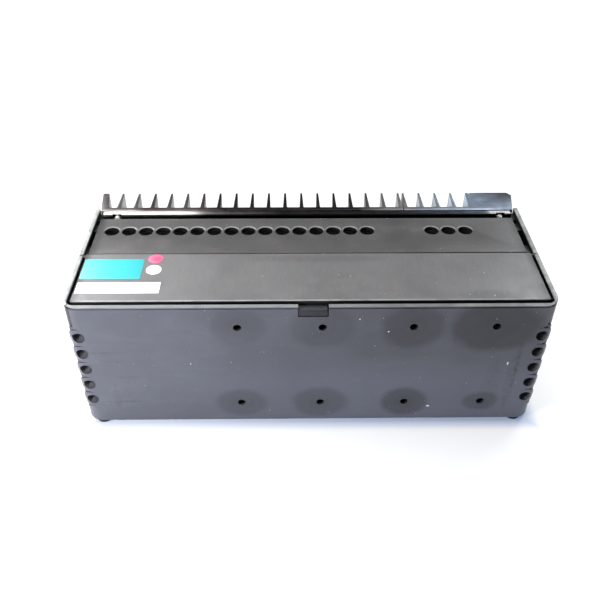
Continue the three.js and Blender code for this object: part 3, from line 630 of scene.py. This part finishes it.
def chassis_finish():
    """The plate's cut edge carries a painted reflection: bright at the left, dark in the middle, bluish at
    the right, with a painted highlight at the right end. Its faces below the edge and its front face are
    black with painted shade."""
    finish = Finish("chassis aluminium", 0.3, 1.0)
    along = finish.remap(finish.axes["X"], CHASSIS_LOW.x, CHASSIS_HIGH.x, smoothly=False)
    wander = finish.times(finish.math("SUBTRACT", finish.noise(20 * MM), 0.5), 0.12)
    # painted reflection along the cut edge, with a painted highlight at the right end
    stops = [
        (0.0, (0.95, 0.95, 0.95)),
        (0.16, (0.95, 0.95, 0.95)),
        (0.3, (0.35, 0.34, 0.34)),
        (0.45, (0.06, 0.055, 0.06)),
        (0.7, (0.06, 0.06, 0.07)),
        (0.85, (0.12, 0.15, 0.2)),
        (0.94, (0.2, 0.24, 0.3)),
        (0.96, (0.95, 0.95, 0.95)),
    ]
    colour = finish.ramp(finish.math("ADD", along, wander), stops)
    lines = finish.noise(0.4 * MM, (0.05, 1, 1), 3)
    colour = finish.mix(finish.remap(lines, 0.35, 0.7, 0, 0.4), colour, (0.3, 0.3, 0.3), "MULTIPLY")
    # painted shade on the faces below the edge and on the front face
    below = finish.remap(finish.axes["Z"], CHASSIS_HIGH.z - 0.5 * MM, CHASSIS_HIGH.z - 0.9 * MM)
    ahead = finish.remap(finish.axes["Y"], CHASSIS_LOW.y + 1.4 * MM, CHASSIS_LOW.y + 0.8 * MM)
    finish.colour(finish.mix(finish.math("MAXIMUM", below, ahead), colour, BLACK))
    metal = finish.remap(finish.axes["X"], -72 * MM, -58 * MM, 0.1, 1)
    finish.tree.links.new(metal, finish.shader.inputs["Metallic"])
    finish.rough(finish.remap(lines, 0.3, 0.7, 0.22, 0.42))
    finish.bump(lines, 0.02 * MM, 0.5)
    return finish.material


def simple_finish(name, base, roughness, metallic=0.0, grain=1.5 * MM, contrast=0.18):
    """A plain piece's finish: cloudy tone, fine grain in tone and in relief."""
    finish = Finish(name, roughness, metallic)
    cloud = finish.noise(12 * grain, detail=4)
    fine = finish.noise(grain, detail=3)
    both = finish.math("ADD", cloud, fine)
    darker, lighter = scaled(base, 1 - contrast), scaled(base, 1 + contrast)
    finish.colour(finish.mix(finish.remap(both, 0.7, 1.3), darker, lighter))
    finish.rough(finish.remap(fine, 0.3, 0.7, roughness * 0.85, min(1, roughness * 1.15)))
    finish.bump(fine, 0.02 * MM, 0.6)
    return finish.material


def label_finish(name, base, mark=None):
    """Paper or film stickers, a little uneven and dirty at the edges."""
    finish = Finish(name, 0.45)
    paper = finish.noise(0.6 * MM, detail=3)
    cloud = finish.noise(7 * MM, detail=4)
    colour = finish.mix(finish.remap(cloud, 0.35, 0.7, 0, 0.12), base, scaled(base, 0.8))
    colour = finish.mix(finish.remap(paper, 0.4, 0.7, 0, 0.1), colour, scaled(base, 0.9))
    if mark:
        centre, radii, tone = mark
        blot = finish.spot(centre, radii, 0.5, finish.remap(cloud, 0.3, 0.7, -0.3, 0.3, False))
        colour = finish.mix(finish.times(blot, 0.75), colour, tone)
    finish.colour(colour)
    finish.bump(paper, 0.01 * MM, 0.5)
    return finish.material


# x, distance from the front, half length and half width in mm, and darkening, of the smears on the covers
LID_MARKS = [(5, 40, 34, 3.2, 0.3), (92, 8, 14, 4, 0.45)]
PANEL_MARKS = [(70, 74, 30, 4, 0.2)]
FINISHES = {
    "case": case_finish(),
    "lid": cover_finish("lid plastic", (0.115, 0.114, 0.116), LID_HALF, LID_MARKS),
    "panel": cover_finish("panel plastic", (0.057, 0.056, 0.056), PANEL_HIGH.x, PANEL_MARKS, HOLE_ROWS),
    "latch": simple_finish("latch plastic", (0.009, 0.011, 0.016), 0.55),
    "sink_left": aluminium_finish("sink aluminium left"),
    "sink_right": aluminium_finish("sink aluminium right"),
    "chassis": chassis_finish(),
    "steel": simple_finish("screw steel", (0.62, 0.61, 0.58), 0.3, 1.0, 0.6 * MM),
    "terminal": simple_finish("terminal plastic", (0.018, 0.019, 0.022), 0.4),
    "board": simple_finish("board laminate", (0.012, 0.085, 0.036), 0.35, 0.0, 1 * MM, 0.25),
    "sleeve": simple_finish("capacitor sleeve", (0.016, 0.032, 0.105), 0.25),
    "core": simple_finish("core steel", (0.16, 0.15, 0.14), 0.45, 1.0),
    "copper": simple_finish("copper winding", (0.62, 0.25, 0.1), 0.3, 1.0),
    "epoxy": simple_finish("device epoxy", (0.014, 0.014, 0.015), 0.4),
    "glass": simple_finish("fuse glass", (0.72, 0.76, 0.73), 0.12),
    "switch": simple_finish("switch plastic", (0.02, 0.075, 0.33), 0.35),
    "marker": simple_finish("marker plastic", (0.78, 0.77, 0.71), 0.4),
    "rubber": simple_finish("foot rubber", (0.012, 0.012, 0.013), 0.75),
}


def dress(obj, finish, body, *nodes):
    """Gives a new piece its finish and body, and hides the CAD nodes it stands in for."""
    obj.data.materials.clear()
    obj.data.materials.append(FINISHES[finish])
    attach(obj, body)
    if nodes:
        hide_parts(*nodes)


def refinish(node, finish, width):
    """Keeps a CAD node and gives it a finish and softened edges."""
    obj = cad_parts[node]
    obj.data.materials.clear()
    obj.data.materials.append(FINISHES[finish])
    if width:
        soften(obj, width)


# ---- case shell ----
HOLE_RADIUS = 2.1 * MM
GROOVE = (TOP - 1.8 * MM, TOP - 1 * MM)  # its lower and upper edge
GROOVE_DEPTH = 0.4 * MM
LEDGE_SPANS = ((8, 16), (32, 40), (49, 56), (70.5, 77.5))  # in mm from the front
LATCH_X = (LATCH_LOW.x + LATCH_HIGH.x) / 2
LATCH_HALF_WIDTH = (LATCH_HIGH.x - LATCH_LOW.x) / 2
LATCH_TRAVEL = 1.2 * MM
PIN_RADIUS = MM
SOCKET_RADIUS = PIN_RADIUS + GAP
STAY_START = FRONT + 81.5 * MM  # front face of the ribs and pads by the chassis plate
PIVOT_Y = LID_HIGH.y - COVER_THICKNESS / 2
PIVOT_Z = TOP - COVER_THICKNESS / 2
UPRIGHT = Matrix.Rotation(math.radians(90), 4, "X")  # plan outline to an outline facing the front


def u_outline(half, start, end, radius, thickness, inner_radius):
    """The case wall in plan: front wall and end walls, open at the back."""
    steps = CORNER_STEPS
    outer = [(-half, end)] + arc((-half + radius, start + radius), radius, 180, 270, steps)
    outer += arc((half - radius, start + radius), radius, 270, 360, steps) + [(half, end)]
    inner_half, inner_start = half - thickness, start + thickness
    inner = [(inner_half, end)]
    inner += arc((inner_half - inner_radius, inner_start + inner_radius), inner_radius, 360, 270, steps)
    inner += arc((-inner_half + inner_radius, inner_start + inner_radius), inner_radius, 270, 180, steps)
    return outer + inner + [(-inner_half, end)]


def flute_rod(side, z, radius, start, end):
    """A round bar along a flute's axis."""
    rod = slab("rod", [circle((side * FLUTE_X, z), radius)], -end, -start)
    return turned(rod, UPRIGHT)


def flutes(side):
    """A stack of ribs that lie along an end wall on a sunk wall of their own, each with a blind bore
    from the front."""
    heights = [FLUTE_TOP - i * FLUTE_PITCH for i in range(FLUTE_COUNT)]
    low, high = FLUTES_LOW - MM, FLUTES_HIGH + MM
    end = FLUTE_END + MM
    across = sorted((side * FLUTE_BACK, side * FLUTE_RECESS))
    backing = box("backing", (across[0], FRONT + WALL / 2, low), (across[1], end, high))
    rods = [flute_rod(side, z, FLUTE_RADIUS, FRONT, FLUTE_END) for z in heights]
    behind = sorted((0, side * FLUTE_BACK))
    inside = box("inside", (behind[0], FLUTE_INNER_END, low), (behind[1], end, high))
    stack = cut(join(rods[0], *rods[1:]), inside)
    outline = rounded((-HALF_WIDTH, FRONT), (HALF_WIDTH, -FRONT), FLUTE_CORNER_RADIUS, CORNER_STEPS)
    plan = slab("plan", [outline], BOTTOM, TOP)
    stack = common(join(backing, stack), plan)
    bores = [flute_rod(side, z, FLUTE_BORE, FRONT - MM, FLUTE_BORE_END) for z in heights]
    return stack, bores


def flute_window(side):
    """The opening in the case wall that the flutes fill."""
    across = sorted((side * FLUTE_RECESS, side * (HALF_WIDTH + MM)))
    return box("window", (across[0], FRONT - MM, FLUTES_LOW), (across[1], FLUTE_END, FLUTES_HIGH))


def shell_stay(name, side, reach, low, high, edge=0.0):
    """A block on an end wall's inner face, between two (y, z) corners."""
    inner = HALF_WIDTH - WALL
    across = sorted((side * (inner - reach), side * (inner + MM)))
    return box(name, (across[0], *low), (across[1], *high), edge)


def shell_stays():
    """Ledges under the lid and the terminal cover, and the ribs and pads round the chassis plate's ends."""
    top = TOP - COVER_THICKNESS - GAP
    stays = []
    for side in (-1, 1):
        for start, end in LEDGE_SPANS:
            low, high = (FRONT + start * MM, top - 3.2 * MM), (FRONT + end * MM, top)
            stays.append(shell_stay("ledge", side, 4.2 * MM, low, high, 0.2 * MM))
        low = (STAY_START, BOTTOM + GAP)
        stays.append(shell_stay("rib", side, 5 * MM, low, (CHASSIS_LOW.y - GAP, TOP - 14 * MM)))
        stays.append(shell_stay("pad", side, 2.3 * MM, low, (CHASSIS_HIGH.y, TOP - 3 * MM)))
    return stays


def shell_cutters():
    """The flutes' openings, the sockets for the lid's pins, the front holes and the groove below the top."""
    cutters = []
    inner = HALF_WIDTH - WALL
    for side in (-1, 1):
        cutters.append(flute_window(side))
        socket = slab("socket", [circle((0, 0), SOCKET_RADIUS, 24)], inner - MM, inner + 1.5 * MM)
        turn = Matrix.Rotation(math.radians(90 * side), 4, "Y")
        cutters.append(turned(socket, Matrix.Translation((0, PIVOT_Y, PIVOT_Z)) @ turn))
    for x in HOLE_X:
        for z in HOLE_Z:
            hole = slab("hole", [circle((x, z), HOLE_RADIUS, 32)], -(FRONT + WALL + MM), -(FRONT - MM))
            cutters.append(turned(hole, UPRIGHT))
    outside = HALF_WIDTH + MM, FRONT - MM, CASE_HIGH.y + MM, CORNER_RADIUS + MM
    groove = u_outline(*outside, MM + GROOVE_DEPTH, CORNER_RADIUS - GROOVE_DEPTH)
    return cutters + [slab("groove", [groove], *GROOVE)]


def case_shell():
    wall = u_outline(HALF_WIDTH, FRONT, CASE_HIGH.y, CORNER_RADIUS, WALL, INNER_CORNER_RADIUS)
    shell = slab("case_shell_moulding", [wall], BOTTOM, TOP, 0.5 * MM)
    shell = cut(join(shell, *shell_stays()), *shell_cutters())
    for side in (-1, 1):
        stack, bores = flutes(side)
        shell = cut(join(shell, stack), *bores)
    # the front wall's top edge is lower between the end walls' rims
    reach = HALF_WIDTH - END_RIM
    lowered = box("lowered", (-reach, FRONT - MM, FRONT_TOP), (reach, FRONT + CORNER_RADIUS, TOP + MM))
    notch_half = LATCH_HALF_WIDTH + GAP / 2
    notch_low = (LATCH_X - notch_half, FRONT - MM, LATCH_LOW.z - GAP / 2)
    notch = box("notch", notch_low, (LATCH_X + notch_half, FRONT + WALL + MM, TOP + MM))
    return smooth(cleaned(cut(shell, lowered, notch)))


dress(case_shell(), "case", "housing", "case_shell")


# ---- service lid ----
COVER_EDGE = 0.6 * MM
LID_CORNER = MM
RIB_HALF = 0.9 * MM
RIB_X = (-70 * MM, 40 * MM, 90 * MM)


def latch_guide():
    """The box under the lid that the latch slides in: two sides, a back stop and a floor strip."""
    wall, inner = 1.5 * MM, LATCH_HALF_WIDTH + GAP
    start, stop = FRONT + 4.6 * MM, LATCH_HIGH.y + LATCH_TRAVEL + GAP
    floor, top = LATCH_LOW.z - GAP, TOP - COVER_THICKNESS
    x0, x1 = LATCH_X - inner, LATCH_X + inner
    guide = box("guide", (x0 - wall, start, floor - wall), (x1 + wall, stop + wall, top + MM), 0.2 * MM)
    room = box("room", (x0, start - MM, floor), (x1, stop, top))
    window = box("window", (x0, FRONT + 8.5 * MM, floor - wall - MM), (x1, stop, top - MM))
    return cut(guide, room, window)


def lid_rib(x):
    low = (x - RIB_HALF, LID_LOW.y + 6 * MM, TOP - COVER_THICKNESS - 3 * MM)
    return box("rib", low, (x + RIB_HALF, LID_HIGH.y - 8 * MM, TOP - MM), 0.2 * MM)


def service_lid():
    """A plate with round front corners, ribs and the latch's guide below it, and a pin at each end."""
    front, back = LID_LOW.y + LID_CORNER, LID_HIGH.y
    loop = [(LID_HALF, back), (-LID_HALF, back)]
    loop += arc((-LID_HALF + LID_CORNER, front), LID_CORNER, 180, 270, 8)
    loop += arc((LID_HALF - LID_CORNER, front), LID_CORNER, 270, 360, 8)
    lid = slab("service_lid_cover", [loop], TOP - COVER_THICKNESS, TOP, COVER_EDGE)
    ribs = [lid_rib(x) for x in RIB_X]
    pin = slab("pins", [circle((0, 0), PIN_RADIUS, 24)], -LID_HIGH.x, LID_HIGH.x)
    pin = turned(pin, Matrix.Translation((0, PIVOT_Y, PIVOT_Z)) @ Matrix.Rotation(math.radians(90), 4, "Y"))
    return smooth(cleaned(join(lid, *ribs, pin, latch_guide())))


dress(service_lid(), "lid", "lid", "service_lid")


def lid_latch():
    """A soft-edged tab with a row of shallow grip grooves on its underside."""
    tab = box("lid_latch_tab", LATCH_LOW, LATCH_HIGH, 0.7 * MM, 4)
    grooves = []
    for i in range(3):
        y = LATCH_LOW.y + (2.2 + 1.4 * i) * MM
        low = (LATCH_LOW.x + MM, y, LATCH_LOW.z - MM)
        grooves.append(box("groove", low, (LATCH_HIGH.x - MM, y + 0.5 * MM, LATCH_LOW.z + 0.3 * MM)))
    return smooth(cleaned(cut(tab, *grooves)), 40)


dress(lid_latch(), "latch", "latch", "lid_latch")


# ---- terminal panel ----
ACCESS_RADIUS = 4 * MM
LIP_HALF = 110 * MM


def terminal_panel():
    """A plate with a hole over every terminal screw, and a lip down its rear edge."""
    holes = [circle((part(n).x, part(n).y), ACCESS_RADIUS) for n in SCREWS]
    outline = rounded(PANEL_LOW, PANEL_HIGH, 0.8 * MM, 4)
    panel = slab("terminal_panel_cover", [outline, *holes], TOP - COVER_THICKNESS, TOP, 0.3 * MM)
    lip_low = (-LIP_HALF, PANEL_HIGH.y - 2 * MM, PANEL_LOW.z)
    lip = box("lip", lip_low, (LIP_HALF, PANEL_HIGH.y - 0.05 * MM, TOP - MM), 0.2 * MM)
    return smooth(cleaned(join(panel, lip)))


dress(terminal_panel(), "panel", "panel", "terminal_panel")


# ---- stickers on the lid ----
STICKER_LOW, STICKER_HIGH = TOP + 0.01 * MM, TOP + 0.13 * MM
DOT_RADIUS = 4 * MM
PINK_DOT = (-81.6 * MM, FRONT + 40.2 * MM)
WHITE_DOT = (-81.5 * MM, FRONT + 30.5 * MM)
# middle, radii and colour of the darker blot on the pink dot
PINK_BLOT = (
    (PINK_DOT[0] + 0.5 * MM, PINK_DOT[1] - 0.5 * MM, TOP),
    (2.4 * MM, 2 * MM, 2 * MM),
    (0.5, 0.05, 0.13),
)


def sticker(name, loop, finish):
    made = slab(name, [loop], STICKER_LOW, STICKER_HIGH, 0.03 * MM, 1)
    FINISHES[name] = finish
    dress(smooth(made), name, "lid")


def patch(x0, x1, d0, d1, radius):
    """A label's outline, in mm across and back from the front face."""
    return rounded((x0 * MM, FRONT + d0 * MM), (x1 * MM, FRONT + d1 * MM), radius * MM, 4)


teal = label_finish("teal film", (0.033, 0.4, 0.43))
sticker("teal_label", patch(-118.6, -87.5, 22.8, 39.9, 1), teal)
white = label_finish("white paper", (0.95, 0.96, 0.95))
sticker("write_on_strip", patch(-118.4, -76.4, 10.9, 19.8, 0.3), white)
pink = label_finish("pink paper", (0.6, 0.12, 0.21), PINK_BLOT)
sticker("pink_dot", circle(PINK_DOT, DOT_RADIUS), pink)
white_dot = label_finish("white dot paper", (0.93, 0.95, 0.93))
sticker("white_dot", circle(WHITE_DOT, DOT_RADIUS), white_dot)


# ---- heat sink ----
FIN_TIP = 1.2 * MM
FIN_ROOT = 2.4 * MM
BASE_BACK = SINK_LOW.y + 3.3 * MM
TIP_BACK = SINK_HIGH.y
FILLET = 0.5 * MM
# place of the first fin, pitch and number of fins on each extrusion
LEFT_FINS = (-110.5 * MM, 9.72 * MM, 18)
RIGHT_FINS = (57.8 * MM, 9.6 * MM, 4)


def fin(x):
    """A fin's outline in plan from its left root to its right, with a rounded tip and filleted roots."""
    tip, root = FIN_TIP / 2, FIN_ROOT / 2
    left = [(x - root - 0.35 * MM, BASE_BACK), (x - root - 0.08 * MM, BASE_BACK + 0.12 * MM)]
    left += [(x - root + 0.03 * MM, BASE_BACK + FILLET)]
    right = [(2 * x - px, py) for px, py in reversed(left)]
    top = arc((x, TIP_BACK - tip), tip, 180, 0, 8)
    return left + top + right


def fins(first, pitch, count):
    return [fin(first + i * pitch) for i in range(count)]


def sink(name, outline, finish, node):
    low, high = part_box(node)
    made = slab(name, [outline], low.z, high.z, 0.15 * MM, 1)
    dress(smooth(made), finish, "housing", node)


def left_sink():
    """A leaning end fin, then upright ones."""
    low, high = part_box("heat_sink_left")
    outline = [(high.x, low.y), (-120.4 * MM, low.y)]
    outline += [(-122.6 * MM, TIP_BACK - FILLET), (-122.1 * MM, TIP_BACK), (-119.3 * MM, TIP_BACK)]
    outline += [(-118.9 * MM, TIP_BACK - FILLET), (-116.3 * MM, BASE_BACK + 0.7 * MM)]
    outline.append((-115.6 * MM, BASE_BACK))
    for points in fins(*LEFT_FINS):
        outline += points
    outline.append((high.x, BASE_BACK))
    sink("heat_sink_left_extrusion", outline, "sink_left", "heat_sink_left")


def right_sink():
    """Upright fins, then a solid block with a shallow groove down its back face."""
    low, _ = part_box("heat_sink_right")
    first, *others = fins(*RIGHT_FINS)
    outline = [(low.x, BASE_BACK + 0.4 * MM)] + [p for p in first if p[0] > low.x + 0.05 * MM]
    for points in others:
        outline += points
    outline += [(94.2 * MM, BASE_BACK), (95 * MM, BASE_BACK + 0.8 * MM), (95.6 * MM, TIP_BACK - 0.6 * MM)]
    outline += [(96.2 * MM, TIP_BACK), (96.9 * MM, TIP_BACK), (97.7 * MM, TIP_BACK - 0.9 * MM)]
    outline += [(99.2 * MM, TIP_BACK), (121 * MM, TIP_BACK), (123.2 * MM, TIP_BACK - 3 * MM)]
    outline += [(120.2 * MM, low.y), (low.x, low.y)]
    sink("heat_sink_right_extrusion", outline, "sink_right", "heat_sink_right")


left_sink()
right_sink()


# ---- terminal screws: slotted cheese heads ----
HEAD_RADIUS = 3.1 * MM
SHANK_RADIUS = 1.7 * MM
HEAD_HEIGHT = 2.2 * MM
SLOT_HALF_WIDTH = 0.45 * MM
SLOT_DEPTH = MM


def screw_mesh():
    """One screw's mesh, upright on the z axis at the height of all of them."""
    low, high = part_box(SCREWS[0])
    head, shank = HEAD_RADIUS, SHANK_RADIUS
    seat = high.z - HEAD_HEIGHT
    profile = [(0, low.z), (shank - 0.3 * MM, low.z), (shank, low.z + 0.4 * MM), (shank, seat)]
    profile += [(head - 0.15 * MM, seat), (head, seat + 0.15 * MM), (head, high.z - 0.5 * MM)]
    profile += [(head - 0.2 * MM, high.z - 0.15 * MM), (head - 0.6 * MM, high.z - 0.02 * MM), (0, high.z)]
    body = spun("screw", profile)
    slot_low = (-HEAD_RADIUS - MM, -SLOT_HALF_WIDTH, high.z - SLOT_DEPTH)
    slot_high = (HEAD_RADIUS + MM, SLOT_HALF_WIDTH, high.z + MM)
    body = smooth(cleaned(cut(body, box("slot", slot_low, slot_high))), 40)
    mesh = body.data
    bpy.data.objects.remove(body)
    return mesh


def terminal_screws():
    """A screw at every terminal, each with its slot left at some angle."""
    mesh = screw_mesh()
    for node in SCREWS:
        copy = mesh.copy()
        turn = Matrix.Rotation(math.radians(random.uniform(0, 180)), 4, "Z")
        made = link(node + "_head", copy)
        centre = part(node)
        copy.transform(Matrix.Translation((centre.x, centre.y, 0)) @ turn)
        dress(made, "steel", node, node)


random.seed(7)
terminal_screws()


# ---- CAD pieces that keep their shape: finish, and width of the softened edges in mm ----
KEPT = {
    "bottom_cover": ("case", 0.25),
    "chassis_plate": ("chassis", 0.2),
    "clamp_screw_left": ("steel", 0.1),
    "clamp_screw_right": ("steel", 0.1),
    "signal_terminal_block": ("terminal", 0.2),
    "output_terminal_block": ("terminal", 0.2),
    "power_board": ("board", 0),
    "control_board": ("board", 0),
    "bus_capacitor_1": ("sleeve", 0),
    "bus_capacitor_2": ("sleeve", 0),
    "bus_capacitor_3": ("sleeve", 0),
    "supply_transformer": ("core", 0.4),
    "output_choke": ("copper", 0),
    "power_module": ("epoxy", 0.4),
    "bridge_rectifier": ("epoxy", 0.4),
    "fuse_holder": ("epoxy", 0.2),
    "fuse": ("glass", 0.2),
    "dip_switch": ("switch", 0.15),
    "trimmer_row": ("switch", 0.2),
    **{f"board_standoff_{i}": ("steel", 0.15) for i in range(1, 5)},
    **{f"dip_slider_{i}": ("marker", 0.15) for i in range(1, 5)},
    **{f"trimmer_rotor_{i}": ("marker", 0.12) for i in range(1, 4)},
    **{f"foot_{end}_{side}": ("rubber", 0) for end in ("front", "back") for side in ("left", "right")},
}
for node, (finish, width) in KEPT.items():
    refinish(node, finish, width * MM)


# ---- floor, light and camera ----
NEAR_GLOW = (0.32, 0.58)  # the floor's glow under the drive and just beside it
FAR_GLOW = 0.45  # added far away
SHADE_EDGE = (-2 * MM, 7.5 * MM)  # where the glow changes, outwards from the drive's outline
SOFT_WHITE = (0.97, 0.985, 1)
SHADE_BLUE = (0.45, 0.62, 1)


def lit_floor():
    """A pale floor that glows softly, with a narrow bluish shade under the drive."""
    finish = Finish("floor", 0.9)
    tone = finish.noise(0.6, detail=2)
    finish.colour(finish.mix(tone, (0.48, 0.49, 0.51), (0.5, 0.505, 0.515)))
    beyond_x = finish.math("SUBTRACT", finish.math("ABSOLUTE", finish.axes["X"]), HALF_WIDTH)
    beyond_y = finish.math("SUBTRACT", finish.math("ABSOLUTE", finish.axes["Y"]), -FRONT)
    beyond = finish.math("MAXIMUM", beyond_x, beyond_y)
    tint = finish.mix(finish.remap(beyond, *SHADE_EDGE), SHADE_BLUE, SOFT_WHITE)
    finish.tree.links.new(tint, finish.shader.inputs["Emission Color"])
    reach = finish.node("VectorMath", {0: finish.place}, operation="LENGTH").outputs["Value"]
    near = finish.remap(beyond, *SHADE_EDGE, *NEAR_GLOW)
    glow = finish.math("ADD", near, finish.remap(reach, 0.1, 0.7, 0, FAR_GLOW))
    finish.tree.links.new(glow, finish.shader.inputs["Emission Strength"])
    floor = box("floor", (-3, -3, -0.02), (3, 3, 0))
    floor.data.materials.append(finish.material)


WORLD_STRENGTH = 0.15
# name, place, target, diameter, spread in degrees, power in watts and colour
LAMPS = [
    ("key", (-0.22, -0.225, 0.165), (-0.1, -0.04, 0.05), 0.1, 120, 0.55, (1, 0.98, 0.99)),
    ("left", (-0.27, 0.1, 0.25), (-0.13, 0.0, 0.08), 0.1, 110, 0.5, (1, 1, 1)),
    ("top", (0.0, 0.12, 0.9), (0, 0, 0.05), 0.7, 180, 5.5, (1, 1, 1)),
    ("right", (0.3, 0.2, 0.3), (0.1, 0.02, 0.08), 0.2, 120, 0.35, (0.94, 0.97, 1)),
]


def studio():
    lit_floor()
    world = bpy.data.worlds.new("studio")
    world.use_nodes = True
    background = world.node_tree.nodes["Background"]
    background.inputs["Color"].default_value = (*SOFT_WHITE, 1)
    background.inputs["Strength"].default_value = WORLD_STRENGTH
    bpy.context.scene.world = world
    for name, place, target, size, spread, power, colour in LAMPS:
        data = bpy.data.lights.new(name, "AREA")
        data.shape = "DISK"
        data.size = size
        data.spread = math.radians(spread)
        data.energy = power
        data.color = colour
        lamp = link(name, data)
        lamp.location = place
        lamp.rotation_mode = "QUATERNION"
        lamp.rotation_quaternion = (Vector(target) - Vector(place)).to_track_quat("-Z", "Y")


CAMERA_PLACE = Vector((-11.25, -329.85, 311.6)) * MM
CAMERA_PITCH = math.radians(38.965)  # below the horizon
CAMERA_YAW = math.radians(1.112)  # towards +X
CAMERA_ROLL = math.radians(0.433)
CAMERA_LENS = 43.81


def camera():
    """The camera from its place, pitch, yaw and roll."""
    data = bpy.data.cameras.new("camera")
    data.lens = CAMERA_LENS
    data.sensor_width = 36
    data.clip_start = 0.01
    made = link("camera", data)
    right = Vector((math.cos(CAMERA_YAW), -math.sin(CAMERA_YAW), 0))
    level = Vector((math.sin(CAMERA_YAW), math.cos(CAMERA_YAW), 0))
    forward = level * math.cos(CAMERA_PITCH) - Vector((0, 0, math.sin(CAMERA_PITCH)))
    up = right.cross(forward)
    cos, sin = math.cos(CAMERA_ROLL), math.sin(CAMERA_ROLL)
    axes = (right * cos + up * sin, up * cos - right * sin, -forward)
    made.matrix_world = Matrix.Translation(CAMERA_PLACE) @ Matrix(axes).transposed().to_4x4()
    bpy.context.scene.camera = made


studio()
camera()
bpy.context.scene.view_settings.view_transform = "Standard"
